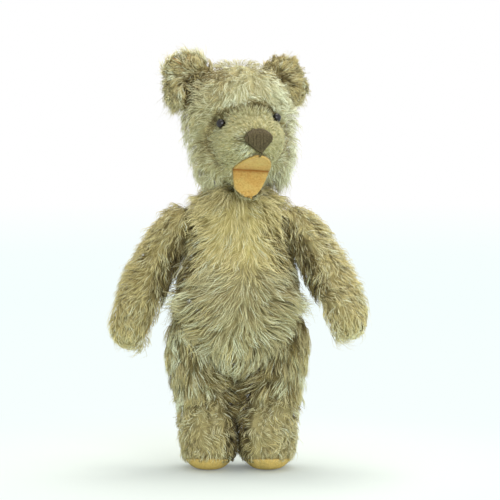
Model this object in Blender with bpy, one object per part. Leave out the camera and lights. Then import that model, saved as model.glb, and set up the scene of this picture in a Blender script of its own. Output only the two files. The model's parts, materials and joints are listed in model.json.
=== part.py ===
"""A threadbare mohair teddy bear with an open felt mouth, standing on its felt soles.

The bear faces -Y and stands on Z = 0, with +X on its own left. Each stuffed part is a mohair cover
over a wood-wool filling. The head, arms and legs turn on disc joints: a hardboard disc and a steel
washer on each side, held together by a split pin whose ends are curled over inside the torso.
All sizes are in millimetres until a mesh is made, when they become metres.
"""

import math

import bmesh
import bpy
import numpy as np
from mathutils import Matrix, Vector, noise

MM = 0.001

# Driving dimensions
NECK_HEIGHT = 185.5
SHOULDER_HEIGHT = 160.0
SHOULDER_OUT = 31.3
HIP_HEIGHT = 88.0
HIP_OUT = 21.0
HIP_TILT = 20.0
HEAD_CENTRE = Vector((0.0, 0.0, 232.0))
HEAD_YAW = 14.0
HEAD_ROLL = 3.0
LEFT_ARM_SWING = 24.0
RIGHT_ARM_SWING = 4.0

# The middle of the bear's footprint in these sizes, which becomes the origin
MIDDLE = Vector((-0.2, -8.6, 0.0))

# Cloth, filling and clearances
COVER = 4.5
FELT = 1.5
CARD = 2.4
GAP = 0.3
FACE_GAP = 0.2
FILL_GAP = 0.45
RUFFLE = 1.1

# Disc joints
DISC_RADIUS = 11.5
DISC_THICK = 2.4
DISC_SIDES = 12
WASHER_RADIUS = 5.5
WASHER_THICK = 0.9
PIN_WIRE = 0.7
PIN_BORE = 1.9
CURL_RADIUS = 2.1

COLOURS = {
    "mohair": ((0.50, 0.44, 0.29), 0.95, 0.0),
    "wood_wool": ((0.62, 0.50, 0.29), 0.95, 0.0),
    "felt": ((0.80, 0.50, 0.20), 0.95, 0.0),
    "hardboard": ((0.28, 0.17, 0.09), 0.8, 0.0),
    "steel": ((0.45, 0.44, 0.42), 0.4, 1.0),
    "glass": ((0.03, 0.03, 0.035), 0.08, 0.0),
    "thread": ((0.13, 0.09, 0.05), 0.8, 0.0),
    "card": ((0.48, 0.38, 0.26), 0.9, 0.0),
}


def clear_scene():
    for old in list(bpy.data.objects):
        bpy.data.objects.remove(old)


def material(name):
    found = bpy.data.materials.get(name)
    if found:
        return found
    colour, roughness, metallic = COLOURS[name]
    made = bpy.data.materials.new(name)
    made.use_nodes = True
    shader = made.node_tree.nodes["Principled BSDF"]
    shader.inputs["Base Color"].default_value = (*colour, 1.0)
    shader.inputs["Roughness"].default_value = roughness
    shader.inputs["Metallic"].default_value = metallic
    made.diffuse_color = (*colour, 1.0)
    return made


def place(name, bm, finish, pivot=None):
    """Makes the object. Its mesh is in the frame of pivot, the empty on its joint's axis."""
    bmesh.ops.translate(bm, vec=-MIDDLE, verts=bm.verts)
    bmesh.ops.scale(bm, vec=(MM, MM, MM), verts=bm.verts)
    mesh = bpy.data.meshes.new(name)
    bm.to_mesh(mesh)
    bm.free()
    made = bpy.data.objects.new(name, mesh)
    bpy.context.scene.collection.objects.link(made)
    if finish:
        mesh.materials.append(material(finish))
        mesh.shade_smooth()
        mesh.set_sharp_from_angle(angle=math.radians(35))
    if pivot:
        mesh.transform(pivot.matrix_world.inverted())
        made.parent = pivot
    return made


def cutter(name, bm, pivot=None):
    made = place(name, bm, None, pivot)
    made.hide_render = True
    made.display_type = "WIRE"
    return made


def boolean(target, tool, operation="DIFFERENCE"):
    step = target.modifiers.new(tool.name, "BOOLEAN")
    step.operation = operation
    step.object = tool
    return target


def pivot(name, point, axis):
    """An empty on a joint's axis, with its own Z along that axis."""
    made = bpy.data.objects.new(name, None)
    bpy.context.scene.collection.objects.link(made)
    turn = Vector(axis).to_track_quat("Z", "Y").to_matrix().to_4x4()
    made.matrix_world = Matrix.Translation((Vector(point) - MIDDLE) * MM) @ turn
    bpy.context.view_layer.update()
    return made


def axis_frame(point, axis):
    """The frame in millimetres whose origin is on a joint's axis and whose Z is that axis."""
    return Matrix.Translation(Vector(point)) @ Vector(axis).to_track_quat("Z", "Y").to_matrix().to_4x4()


# Stuffed forms


def smooth_through(stations, share):
    """The station at this share of the way along a smooth curve through the stations."""
    table = np.array(stations, float)
    widths = table[:, (0, 3, 4)]
    along = np.concatenate([[0.0], np.cumsum(np.linalg.norm(np.diff(widths, axis=0), axis=1))])
    slopes = np.gradient(table, along, axis=0)
    at = share * along[-1]
    i = int(np.clip(np.searchsorted(along, at) - 1, 0, len(along) - 2))
    span = along[i + 1] - along[i]
    u = (at - along[i]) / span
    start = (2 * u**3 - 3 * u**2 + 1) * table[i] + (u**3 - 2 * u**2 + u) * span * slopes[i]
    end = (3 * u**2 - 2 * u**3) * table[i + 1] + (u**3 - u**2) * span * slopes[i + 1]
    return start + end


def thinner(half, depth):
    """Half a width, less the depth of what lies outside it."""
    return max(half - depth, 0.35 * half)


def stuffed(stations, around, along, depth=0.0, mirror=False):
    """A closed form through level sections, from the lowest station to the highest.

    A station is (height, centre x, centre y, half width, half depth). A sphere's rings become the
    sections, so its poles close both ends. The form lies this depth inside its outer surface.
    """
    bm = bmesh.new()
    bmesh.ops.create_uvsphere(bm, u_segments=around, v_segments=along, radius=1.0)
    low, high = stations[0][0], stations[-1][0]
    for vert in bm.verts:
        share = 1.0 - math.acos(max(-1.0, min(1.0, vert.co.z))) / math.pi
        height, x, y, wide, deep = smooth_through(stations, share)
        height = low + depth + (height - low) * (high - low - 2 * depth) / (high - low)
        angle = math.atan2(vert.co.y, vert.co.x)
        level = min(1.0, math.hypot(vert.co.x, vert.co.y) * 1e6)
        x += level * thinner(wide, depth) * math.cos(angle)
        y += level * thinner(deep, depth) * math.sin(angle)
        vert.co = Vector((x, y, height))
    if mirror:
        bmesh.ops.scale(bm, vec=(-1, 1, 1), verts=bm.verts)
        bmesh.ops.reverse_faces(bm, faces=bm.faces)
    bmesh.ops.triangulate(bm, faces=bm.faces, quad_method="FIXED")
    bm.normal_update()
    return bm


def ruffle(bm, keep_clear=()):
    """Stands the pile up in locks that hang down, fading out on the faces of the joints."""
    steps = []
    for vert in bm.verts:
        lift = noise.noise(vert.co * 0.31) + 0.6 * noise.noise(vert.co * 0.83)
        fade = 1.0
        for point, radius in keep_clear:
            near = ((vert.co - Vector(point)).length - radius) / 8.0
            fade = min(fade, max(0.0, near))
        out = vert.normal * RUFFLE * lift * fade
        steps.append((vert, vert.co + out + Vector((0, 0, -0.5 * abs(lift) * fade))))
    for vert, there in steps:
        vert.co = there
    bm.normal_update()
    return bm


def press(bm, frame, side, level, start=1e9, flare=0.0, rising=False):
    """Presses the form flat against a joint's face.

    In the joint's frame the form may not pass this level, on the side +1 or -1. From the distance
    start, out from the axis or above it, the limit gives way by flare for each millimetre.
    """
    inverse = frame.inverted()
    for vert in bm.verts:
        at = inverse @ vert.co
        distance = at.y if rising else math.hypot(at.x, at.y)
        limit = level - side * max(0.0, distance - start) * flare
        if side * (at.z - limit) < 0:
            at.z = limit
            vert.co = frame @ at
    bm.normal_update()
    return bm


def shrink(bm, step):
    """Draws a form in by a small step along its normals, or lets it out."""
    steps = [(vert, vert.co - vert.normal * step) for vert in bm.verts]
    for vert, there in steps:
        vert.co = there
    bm.normal_update()
    return bm


def half_space(bm, point, normal, keep_inside=True):
    """Cuts the form off at a plane and closes it, keeping what lies against the normal."""
    bmesh.ops.bisect_plane(
        bm,
        geom=bm.verts[:] + bm.edges[:] + bm.faces[:],
        plane_co=point,
        plane_no=normal,
        clear_outer=keep_inside,
        clear_inner=not keep_inside,
        dist=1e-5,
    )
    rim = [edge for edge in bm.edges if edge.is_boundary]
    bmesh.ops.contextual_create(bm, geom=rim)
    bmesh.ops.recalc_face_normals(bm, faces=bm.faces)
    return bm


# Disc joints


# Turns every round piece alike, so that none has an edge in a plane of symmetry of the forms
TURNED = Matrix.Rotation(0.17, 4, "Z")


def drum(frame, low, high, radius, segments=24):
    """A plain cylinder between two levels on a joint's axis."""
    bm = bmesh.new()
    bmesh.ops.create_cone(
        bm, cap_ends=True, segments=segments, radius1=radius, radius2=radius, depth=high - low
    )
    bmesh.ops.translate(bm, vec=(0, 0, (low + high) / 2), verts=bm.verts)
    bmesh.ops.transform(bm, matrix=frame @ TURNED, verts=bm.verts)
    return bm


def ring_plate(frame, low, high, radius, bore, segments):
    """A flat disc with a round hole, made by turning its section about the joint's axis."""
    bm = bmesh.new()
    corners = [(bore, low), (radius, low), (radius, high), (bore, high)]
    verts = [bm.verts.new((x, 0, z)) for x, z in corners]
    edges = [bm.edges.new((verts[i], verts[(i + 1) % 4])) for i in range(4)]
    bmesh.ops.spin(
        bm,
        geom=verts + edges,
        cent=(0, 0, 0),
        axis=(0, 0, 1),
        angle=math.tau,
        steps=segments,
        use_merge=True,
    )
    bmesh.ops.remove_doubles(bm, verts=bm.verts, dist=1e-4)
    bmesh.ops.recalc_face_normals(bm, faces=bm.faces)
    bmesh.ops.transform(bm, matrix=frame @ TURNED, verts=bm.verts)
    return bm


def arc(centre, radius, start, end, steps):
    """Points along an arc in a plane, as (across, level) pairs."""
    angles = [start + (end - start) * i / steps for i in range(steps + 1)]
    return [(centre[0] + radius * math.cos(a), centre[1] + radius * math.sin(a)) for a in angles]


def split_pin(name, frame, inner, outer, holder):
    """A split pin: one wire folded into an eye, with two legs whose ends are curled outwards.

    The eye rests at level outer, inside the limb. The curls rest at level inner, inside the torso.
    """
    half = PIN_WIRE + 0.08
    eye = 2.2
    opening = math.asin(half / eye)
    bow_centre = (0, outer + PIN_WIRE + eye * math.cos(opening))
    bow = arc(bow_centre, eye, 1.5 * math.pi - opening, -math.pi / 2 + opening, 8)
    curl_centre = (half + CURL_RADIUS, inner - PIN_WIRE - CURL_RADIUS)
    curl = arc(curl_centre, CURL_RADIUS, math.pi, 1.9 * math.pi, 4)
    right = [(half, inner - PIN_WIRE)] + curl
    left = [(-x, z) for x, z in reversed(right)]
    line = bpy.data.curves.new(name, "CURVE")
    line.dimensions = "3D"
    line.bevel_depth = PIN_WIRE * MM
    line.bevel_resolution = 0
    line.use_fill_caps = True
    path = left + bow + right
    spline = line.splines.new("POLY")
    spline.points.add(len(path) - 1)
    local = holder.matrix_world.inverted()
    for point, (x, z) in zip(spline.points, path):
        point.co = (*(local @ ((frame @ Vector((x, 0, z)) - MIDDLE) * MM)), 1)
    made = bpy.data.objects.new(name, line)
    bpy.context.scene.collection.objects.link(made)
    made.parent = holder
    line.materials.append(material("steel"))
    return made


class Joint:
    """One disc joint: its frame, with Z from the torso to the limb, and the levels of its stack."""

    def __init__(self, name, limb, point, axis):
        self.name = name
        self.limb = limb
        self.point = Vector(point)
        self.frame = axis_frame(point, axis)
        self.pivot = pivot(f"{name}_pivot", point, axis)
        self.disc = FACE_GAP + COVER + GAP
        self.washer = self.disc + DISC_THICK + GAP
        self.seat = self.washer + WASHER_THICK + GAP

    def pockets(self, side, name, holder):
        """Cutters for the hollows that the stack needs: a bore, a disc pocket and a pin pocket."""
        deep = self.seat + 2 * PIN_WIRE + 2 * CURL_RADIUS + 2.4
        spans = (
            ("bore", -0.5, self.seat, PIN_BORE, 8),
            ("disc_pocket", self.disc - GAP - 0.05, self.washer, DISC_RADIUS + GAP, DISC_SIDES),
            ("pin_pocket", self.disc, deep, WASHER_RADIUS + 2 * GAP, 12),
        )
        made = {}
        for label, low, high, radius, segments in spans:
            ends = sorted((side * low, side * high))
            bm = drum(self.frame, *ends, radius, segments)
            made[label] = cutter(f"{name}_{label}", bm, holder)
        return made

    def fit(self, limb_cover, limb_filling, torso_cover, torso_filling):
        """Bores the covers, hollows the fillings and puts in the discs, washers and split pin."""
        for side, cover, filling, owner, holder in (
            (1, limb_cover, limb_filling, self.limb, self.pivot),
            (-1, torso_cover, torso_filling, f"torso_{self.name}", None),
        ):
            tools = self.pockets(side, owner, holder)
            boolean(cover, tools["bore"])
            for body in (cover, filling):
                boolean(body, tools["disc_pocket"])
                boolean(body, tools["pin_pocket"])
            low, high = sorted((side * self.disc, side * (self.disc + DISC_THICK)))
            disc = ring_plate(self.frame, low, high, DISC_RADIUS, PIN_BORE, DISC_SIDES)
            place(f"{owner}_disc", disc, "hardboard", holder)
            low, high = sorted((side * self.washer, side * (self.washer + WASHER_THICK)))
            washer = ring_plate(self.frame, low, high, WASHER_RADIUS, PIN_BORE, 10)
            place(f"{owner}_washer", washer, "steel", holder)
        split_pin(f"{self.name}_split_pin", self.frame, -self.seat, self.seat, self.pivot)


# Torso

TORSO = [
    (66.0, 0, -5, 0.0, 0.0),
    (67.0, 0, -5, 8.0, 12.0),
    (73.0, 0, -4, 14.5, 23.0),
    (86.0, 0, -4, 24.0, 30.5),
    (98.0, 0, -5, 33.0, 34.0),
    (112.0, 0, -6, 39.5, 36.0),
    (122.0, 0, -5, 40.5, 35.8),
    (136.0, 0, -3, 37.4, 33.5),
    (152.0, 0, -1, 33.0, 30.0),
    (166.0, 0, 0, 31.5, 28.0),
    (177.0, 0, 0, 26.5, 25.0),
    (183.5, 0, 0, 23.5, 22.5),
    (185.3, 0, 0, 20.0, 19.5),
    (185.3, 0, 0, 0.0, 0.0),
]


def torso_form(joints, depth=0.0, around=18, along=14):
    bm = stuffed(TORSO, around, along, depth)
    if not depth:
        ruffle(bm, [(joint.point, DISC_RADIUS) for joint in joints.values()])
    for name, joint in joints.items():
        level = -FACE_GAP - depth
        if name == "neck":
            press(bm, joint.frame, -1, level)
        elif "hip" in name:
            press(bm, joint.frame, -1, level, 21.0, 1.15, rising=True)
        else:
            press(bm, joint.frame, -1, level, 14.0, 0.75)
    return bm


def build_torso(joints):
    cover = place("torso_cover", torso_form(joints, around=24, along=22), "mohair")
    boolean(cover, cutter("torso_hollow", torso_form(joints, COVER)))
    return cover, place("torso_filling", shrink(torso_form(joints, COVER), FILL_GAP), "wood_wool")


# Arms, as on the bear's left

ARM = [
    (80.0, 70.5, -8, 0.0, 0.0),
    (81.0, 70.5, -8, 6.5, 7.0),
    (86.0, 71.0, -8, 11.5, 12.0),
    (95.0, 70.0, -7, 14.6, 14.4),
    (108.0, 66.5, -5, 15.8, 15.2),
    (122.0, 60.5, -3, 15.6, 15.8),
    (136.0, 54.0, -1, 15.0, 16.2),
    (148.0, 47.5, 0, 14.4, 16.2),
    (160.0, 42.0, 0, 13.0, 15.4),
    (169.0, 39.0, 0, 9.6, 11.5),
    (174.6, 37.8, 0, 4.6, 6.0),
    (175.6, 37.6, 0, 0.0, 0.0),
]
PALM = Vector((58.0, 2.0, 98.0))
PALM_FACING = Vector((-0.72, 0.66, -0.2)).normalized()
PALM_HALF = (8.5, 12.5)
PALM_DEEP = 3.2


def arm_swing(joint, degrees):
    """The turn about the shoulder, forwards from hanging, that the arm rests at."""
    turn = Matrix.Rotation(math.radians(-degrees), 4, "X")
    return Matrix.Translation(joint.point) @ turn @ Matrix.Translation(-joint.point)


def arm_form(joint, mirror, swing, depth=0.0, around=12, along=10):
    bm = stuffed(ARM, around, along, depth, mirror)
    bmesh.ops.transform(bm, matrix=arm_swing(joint, swing), verts=bm.verts)
    bm.normal_update()
    if not depth:
        ruffle(bm, [(joint.point, DISC_RADIUS)])
    return press(bm, joint.frame, 1, FACE_GAP + depth)


def palm_plug(joint, mirror, swing, grow, length=16.0):
    """An oval plug through the palm, which bounds the felt pad."""
    bm = bmesh.new()
    bmesh.ops.create_cone(bm, cap_ends=True, segments=16, radius1=1, radius2=1, depth=length)
    wide, tall = PALM_HALF
    bmesh.ops.scale(bm, vec=(wide + grow, tall + grow, 1), verts=bm.verts)
    side = -1 if mirror else 1
    facing = Vector((PALM_FACING.x * side, PALM_FACING.y, PALM_FACING.z))
    centre = Vector((PALM.x * side, PALM.y, PALM.z))
    across = Vector((0, 0, 1)).cross(facing).normalized()
    turn = Matrix((across, facing.cross(across), facing)).transposed().to_4x4()
    whole = arm_swing(joint, swing) @ Matrix.Translation(centre) @ turn
    bmesh.ops.transform(bm, matrix=whole, verts=bm.verts)
    return bm


def build_arm(joint, mirror, swing):
    name, holder = joint.limb, joint.pivot

    def form(depth=0.0, **options):
        return arm_form(joint, mirror, swing, depth, **options)

    cover = place(f"{name}_cover", form(around=16, along=13), "mohair", holder)
    boolean(cover, cutter(f"{name}_hollow", form(COVER), holder))
    recess = cutter(f"{name}_palm_recess", palm_plug(joint, mirror, swing, GAP), holder)
    boolean(recess, cutter(f"{name}_palm_floor", form(PALM_DEEP), holder))
    boolean(cover, recess)
    pad = place(f"{name}_paw_pad", form(PALM_DEEP - GAP - FELT), "felt", holder)
    outline = cutter(f"{name}_pad_outline", palm_plug(joint, mirror, swing, 0.0), holder)
    boolean(pad, outline, "INTERSECT")
    boolean(pad, cutter(f"{name}_pad_back", form(PALM_DEEP - GAP), holder))
    return cover, place(f"{name}_filling", shrink(form(COVER), FILL_GAP), "wood_wool", holder)


# Legs, as on the bear's left

LEG = [
    (0.0, 19.5, -6, 0.0, 0.0),
    (0.0, 19.5, -6, 8.0, 12.5),
    (1.4, 19.5, -6.5, 12.2, 17.2),
    (4.5, 19.6, -7.5, 15.4, 21.0),
    (10.0, 19.9, -8.5, 17.4, 23.8),
    (18.0, 20.3, -8.5, 18.4, 24.6),
    (30.0, 21.2, -5.5, 19.1, 22.3),
    (45.0, 22.8, -2, 18.7, 19.4),
    (60.0, 25.8, 0, 18.2, 19.2),
    (74.0, 28.8, 0, 17.6, 20.0),
    (86.0, 31.0, 0, 16.6, 19.6),
    (96.0, 32.8, 0, 13.8, 16.2),
    (103.5, 34.0, 0, 9.4, 10.8),
    (106.0, 34.5, 0, 0.0, 0.0),
]
SOLE_RIM = Vector((19.5, -6.0, 5.6))
SOLE_LEAN = 8.0
SOLE_WELL = 6.0
LEG_SHEER = 1.5


def leg_form(joint, mirror, depth=0.0, around=14, along=14):
    side = -1 if mirror else 1
    bm = stuffed(LEG, around, along, depth, mirror)
    if not depth:
        ruffle(bm, [(joint.point, DISC_RADIUS), (SOLE_RIM * Vector((side, 1, 1)), 26.0)])
    press(bm, joint.frame, 1, FACE_GAP + depth)
    for vert in bm.verts:
        vert.co.z = max(depth, vert.co.z)
        if vert.co.x * side < LEG_SHEER + depth:
            vert.co.x = (LEG_SHEER + depth) * side
    bm.normal_update()
    return bm


def sole_plane(mirror, lift=0.0):
    side = -1 if mirror else 1
    point = Vector((SOLE_RIM.x * side, SOLE_RIM.y, SOLE_RIM.z + lift))
    lean = math.radians(SOLE_LEAN)
    return point, Vector((0, math.sin(lean), math.cos(lean)))


def build_leg(joint, mirror):
    name, holder = joint.limb, joint.pivot
    up = Vector((0, 0, 1))

    def form(depth=0.0, **options):
        return leg_form(joint, mirror, depth, **options)

    outside = half_space(form(around=18, along=15), *sole_plane(mirror, GAP), keep_inside=False)
    cover = place(f"{name}_cover", outside, "mohair", holder)
    boolean(cover, cutter(f"{name}_hollow", form(COVER), holder))
    well = half_space(form(FELT + GAP), *sole_plane(mirror, SOLE_WELL))
    boolean(cover, cutter(f"{name}_sole_well", well, holder))
    sole = place(f"{name}_sole", half_space(form(around=18, along=15), *sole_plane(mirror)), "felt", holder)
    boolean(sole, cutter(f"{name}_sole_inside", form(FELT), holder))
    insole = half_space(form(FELT + 2 * GAP), Vector((0, 0, FELT + 2 * GAP + CARD)), up)
    place(f"{name}_insole", insole, "card", holder)
    above = Vector((0, 0, FELT + 3 * GAP + CARD))
    filling = half_space(shrink(form(COVER), FILL_GAP), above, up, keep_inside=False)
    return cover, place(f"{name}_filling", filling, "wood_wool", holder)


# Head, in a frame of its own: the face looks along -Y

CROWN = Vector((0.0, -8.0, -6.0))
LOBES = [
    ((0, 1, 2), (37.0, 34.5, 37.5)),
    ((0, -28.0, -14.5), (23.0, 22.5, 20.0)),
    ((12.5, -7, -23.5), (22.5, 22.5, 20.5)),
    ((-12.5, -7, -23.5), (22.5, 22.5, 20.5)),
    ((0, -14, 10), (27, 24, 22)),
    ((-2.0, -27.5, -39.5), (11.5, 11.5, 9.5)),
    ((0, 10, -28), (24, 22, 20)),
    ((0, 1, -32), (26, 25, 18.5)),
]
BLEND = 1.6
SNOUT_TURN = Vector((0, -1, -0.2)).normalized()
CREASE = Vector((-0.8, -27.0, -33.0))
CREASE_RUN = Vector((1.0, 0.0, -0.12)).normalized()
PALATE_TIP = Vector((0.3, -50.5, -24.0))
JAW_TIP = Vector((-3.4, -38.5, -48.5))
MOUTH_HALF = 13.0
EYES = {"left": Vector((18.6, -31.0, 2.0)), "right": Vector((-19.2, -30.5, 0.2))}
EYE_RADIUS = 3.0
NOSE = Vector((0.4, -49.4, -11.2))
NOSE_HALF = (11.2, 7.8)
NOSE_STITCHES = 13
EARS = {
    "left": (Vector((27.0, 2.0, 18.5)), 44.0, -4.0),
    "right": (Vector((-26.5, 2.0, 21.0)), -42.0, 6.0),
}
EAR_HALF = (18.5, 4.4, 26.0)
EAR_CUP = 0.014


def head_matrix():
    yaw = Matrix.Rotation(math.radians(HEAD_YAW), 4, "Z")
    roll = Matrix.Rotation(math.radians(-HEAD_ROLL), 4, "Y")
    return Matrix.Translation(HEAD_CENTRE) @ roll @ yaw


def reach(direction, depth):
    """How far the head goes from CROWN in a direction: a soft maximum over its rounded lobes."""
    found = []
    for centre, radii in LOBES:
        thinned = np.array(radii) - depth
        d = np.array(direction) / thinned
        c = (np.array(centre) - CROWN) / thinned
        a, b = d @ d, d @ c
        inside = b * b - a * (c @ c - 1)
        if inside > 0:
            found.append((b + math.sqrt(inside)) / a)
    longest = max(found)
    return longest + BLEND * math.log(sum(math.exp((x - longest) / BLEND) for x in found))


def head_form(joint, depth=0.0, around=18, along=13):
    bm = bmesh.new()
    bmesh.ops.create_uvsphere(bm, u_segments=around, v_segments=along, radius=1.0)
    turn = SNOUT_TURN.to_track_quat("Z", "X").to_matrix()
    for vert in bm.verts:
        polar = math.acos(max(-1.0, min(1.0, vert.co.z))) / math.pi
        angle = math.atan2(vert.co.y, vert.co.x)
        polar = math.pi * (0.72 * polar + 0.28 * polar**2)
        flat = math.sin(polar)
        direction = turn @ Vector((flat * math.cos(angle), flat * math.sin(angle), math.cos(polar)))
        vert.co = CROWN + direction * reach(direction, depth)
    bmesh.ops.transform(bm, matrix=head_matrix(), verts=bm.verts)
    bmesh.ops.triangulate(bm, faces=bm.faces, quad_method="FIXED")
    bm.normal_update()
    if not depth:
        ruffle(bm, [(joint.point, 20.0), (head_matrix() @ Vector((0, -30, -16)), 24.0)])
    return press(bm, joint.frame, 1, FACE_GAP + depth, 24.5, 1.2)


def felt_points(tip, round_end):
    """The outline of one half of the mouth's felt, from its fold to its tip and back."""
    steps = 5
    ahead = tip - CREASE
    right, left = [], []
    for i in range(steps + 1):
        share = math.sin(0.5 * math.pi * i / steps)
        wide = MOUTH_HALF * (1 - 0.4 * share) * math.sqrt(max(0.0, 1 - share**round_end))
        right.append(CREASE + ahead * share + CREASE_RUN * wide)
        left.append(CREASE + ahead * share - CREASE_RUN * wide)
    return right + left[-2::-1]


def mouth_lining():
    """One piece of felt folded at the back of the mouth: the palate above, the tongue below."""
    bm = bmesh.new()
    upper = [bm.verts.new(point) for point in felt_points(PALATE_TIP, 3)]
    tongue = [bm.verts.new(point) for point in felt_points(JAW_TIP, 4)[1:-1]]
    lower = [upper[0]] + tongue + [upper[-1]]
    for outline, tip in ((upper, PALATE_TIP), (lower, JAW_TIP)):
        face = bm.faces.new(outline)
        hub = bmesh.ops.poke(bm, faces=[face])["verts"][0]
        hub.co = CREASE.lerp(tip, 0.45)
    bmesh.ops.recalc_face_normals(bm, faces=bm.faces)
    if sum(face.normal.y * face.calc_area() for face in bm.faces) > 0:
        bmesh.ops.reverse_faces(bm, faces=bm.faces)
    bm.normal_update()
    bmesh.ops.solidify(bm, geom=bm.faces[:], thickness=FELT)
    bmesh.ops.recalc_face_normals(bm, faces=bm.faces)
    return bm


def mouth_wedge(grow):
    """The space of the open mouth: the felt's own room, and all that lies in front of it."""
    bm = mouth_lining()
    felt = [vert.co.copy() for vert in bm.verts]
    bm.free()
    bm = bmesh.new()
    ahead = Vector((0, -22, -10))
    for point in felt:
        for step in (Vector((grow, 0, 0)), Vector((0, grow, 0)), Vector((0, 0, grow))):
            for start in (point, point + ahead):
                bm.verts.new(start + step)
                bm.verts.new(start - step)
    bmesh.ops.convex_hull(bm, input=bm.verts[:])
    bmesh.ops.delete(bm, geom=[vert for vert in bm.verts if not vert.link_faces], context="VERTS")
    bmesh.ops.dissolve_limit(bm, angle_limit=math.radians(1), verts=bm.verts, edges=bm.edges)
    bmesh.ops.triangulate(bm, faces=bm.faces)
    bmesh.ops.recalc_face_normals(bm, faces=bm.faces)
    bmesh.ops.transform(bm, matrix=head_matrix(), verts=bm.verts)
    return bm


def ball(radius, around=10, along=7):
    bm = bmesh.new()
    bmesh.ops.create_uvsphere(bm, u_segments=around, v_segments=along, radius=radius)
    return bm


def eye_frame(point):
    """The frame of an eye: its Z looks straight out of the head."""
    outwards = (point - Vector((0, -6, -6))).normalized()
    turn = outwards.to_track_quat("Z", "Y").to_matrix().to_4x4()
    return head_matrix() @ Matrix.Translation(point) @ turn


def ear_form(side):
    """A flat mohair pouch, wider than deep and cupped forwards, that runs down into the head."""
    base, lean, twist = EARS[side]
    wide, thick, tall = EAR_HALF
    bm = ball(1.0, 14, 9)
    for vert in bm.verts:
        x, y, z = vert.co
        full = 1.0 if z > 0 else 1.0 + 0.25 * min(1.0, -z)
        vert.co = Vector((x * wide * full, y * thick - EAR_CUP * (x * wide) ** 2, z * tall))
    bm.normal_update()
    ruffle(bm)
    turn = (
        Matrix.Translation(base)
        @ Matrix.Rotation(math.radians(lean), 4, "Y")
        @ Matrix.Rotation(math.radians(-12), 4, "X")
        @ Matrix.Rotation(math.radians(twist), 4, "Z")
    )
    bmesh.ops.transform(bm, matrix=head_matrix() @ turn, verts=bm.verts)
    bm.normal_update()
    return bm


def nose_form():
    """A padded triangle of brown floss, stitched in upright rows side by side."""
    bm = ball(1.0, 2 * NOSE_STITCHES, 6)
    wide, tall = NOSE_HALF
    for vert in bm.verts:
        x, y, z = vert.co
        level = math.sqrt(max(1e-6, 1 - z * z))
        narrow = (0.25 + 0.75 * (0.5 + 0.5 * z) ** 0.8) / math.sqrt(level)
        ridge = 1 + 0.07 * math.cos(math.pi * NOSE_STITCHES * (x + 1))
        vert.co = Vector((x * wide * narrow, y * 5.0 * ridge, z * tall))
    turn = Matrix.Translation(NOSE) @ Matrix.Rotation(math.radians(-6), 4, "X")
    bmesh.ops.transform(bm, matrix=head_matrix() @ turn, verts=bm.verts)
    bmesh.ops.recalc_face_normals(bm, faces=bm.faces)
    return bm


def build_eye(side, cover, filling, holder):
    """A glass half ball on a wire loop, sewn down into the head through a slot."""
    socket = eye_frame(EYES[side])
    flat = Vector((1, 1, 0.8))
    back = -EYE_RADIUS * flat.z
    eye = ball(EYE_RADIUS)
    bmesh.ops.scale(eye, vec=flat, verts=eye.verts)
    bmesh.ops.transform(eye, matrix=socket, verts=eye.verts)
    place(f"{side}_eye", eye, "glass", holder)
    upright = Matrix.Translation((0, 0, back - GAP - 1.6)) @ Matrix.Rotation(math.pi / 2, 4, "X")
    loop = ring_plate(socket @ upright, -0.35, 0.35, 1.6, 0.85, 10)
    place(f"{side}_eye_loop", loop, "steel", holder)
    cup = ball(EYE_RADIUS + GAP)
    bmesh.ops.scale(cup, vec=(1, 1, 0.82), verts=cup.verts)
    bmesh.ops.transform(cup, matrix=socket, verts=cup.verts)
    boolean(cover, cutter(f"{side}_eye_cup", cup, holder))
    slot = cutter(f"{side}_eye_slot", drum(socket, back - 2 * GAP - 3.4, -0.5, 1.95, 10), holder)
    boolean(cover, slot)
    boolean(filling, slot)


def build_head(joint):
    holder = joint.pivot
    surface = {"around": 26, "along": 18}
    cover = place("head_cover", head_form(joint, **surface), "mohair", holder)
    hollow = cutter("head_hollow", head_form(joint, COVER), holder)
    boolean(hollow, cutter("mouth_backing", mouth_wedge(3.5), holder))
    boolean(cover, hollow)
    boolean(cover, cutter("mouth_opening", mouth_wedge(2 * GAP), holder))
    filling = place("head_filling", shrink(head_form(joint, COVER), FILL_GAP), "wood_wool", holder)
    boolean(filling, cutter("mouth_clearance", mouth_wedge(3.5 + 2 * GAP), holder))
    lining = mouth_lining()
    bmesh.ops.transform(lining, matrix=head_matrix(), verts=lining.verts)
    place("mouth_felt", lining, "felt", holder)
    for side in EYES:
        build_eye(side, cover, filling, holder)
    outside = cutter("head_surface", shrink(head_form(joint, **surface), -GAP), holder)
    boolean(place("nose_stitching", nose_form(), "thread", holder), outside)
    for side in EARS:
        boolean(place(f"{side}_ear", ear_form(side), "mohair", holder), outside)
    return cover, filling


def main():
    clear_scene()
    tilt = math.radians(HIP_TILT)
    joints = {"neck": Joint("neck", "head", (0, 0, NECK_HEIGHT), (0, 0, 1))}
    for side, x in (("left", 1), ("right", -1)):
        shoulder = (x * SHOULDER_OUT, 0, SHOULDER_HEIGHT)
        joints[f"{side}_shoulder"] = Joint(f"{side}_shoulder", f"{side}_arm", shoulder, (x, 0, 0))
        hip = (x * HIP_OUT, 0, HIP_HEIGHT)
        outwards = (x * math.cos(tilt), 0, -math.sin(tilt))
        joints[f"{side}_hip"] = Joint(f"{side}_hip", f"{side}_leg", hip, outwards)
    torso = build_torso(joints)
    parts = {
        "neck": build_head(joints["neck"]),
        "left_shoulder": build_arm(joints["left_shoulder"], False, LEFT_ARM_SWING),
        "right_shoulder": build_arm(joints["right_shoulder"], True, RIGHT_ARM_SWING),
        "left_hip": build_leg(joints["left_hip"], False),
        "right_hip": build_leg(joints["right_hip"], True),
    }
    for name, joint in joints.items():
        joint.fit(*parts[name], *torso)


main()
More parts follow.
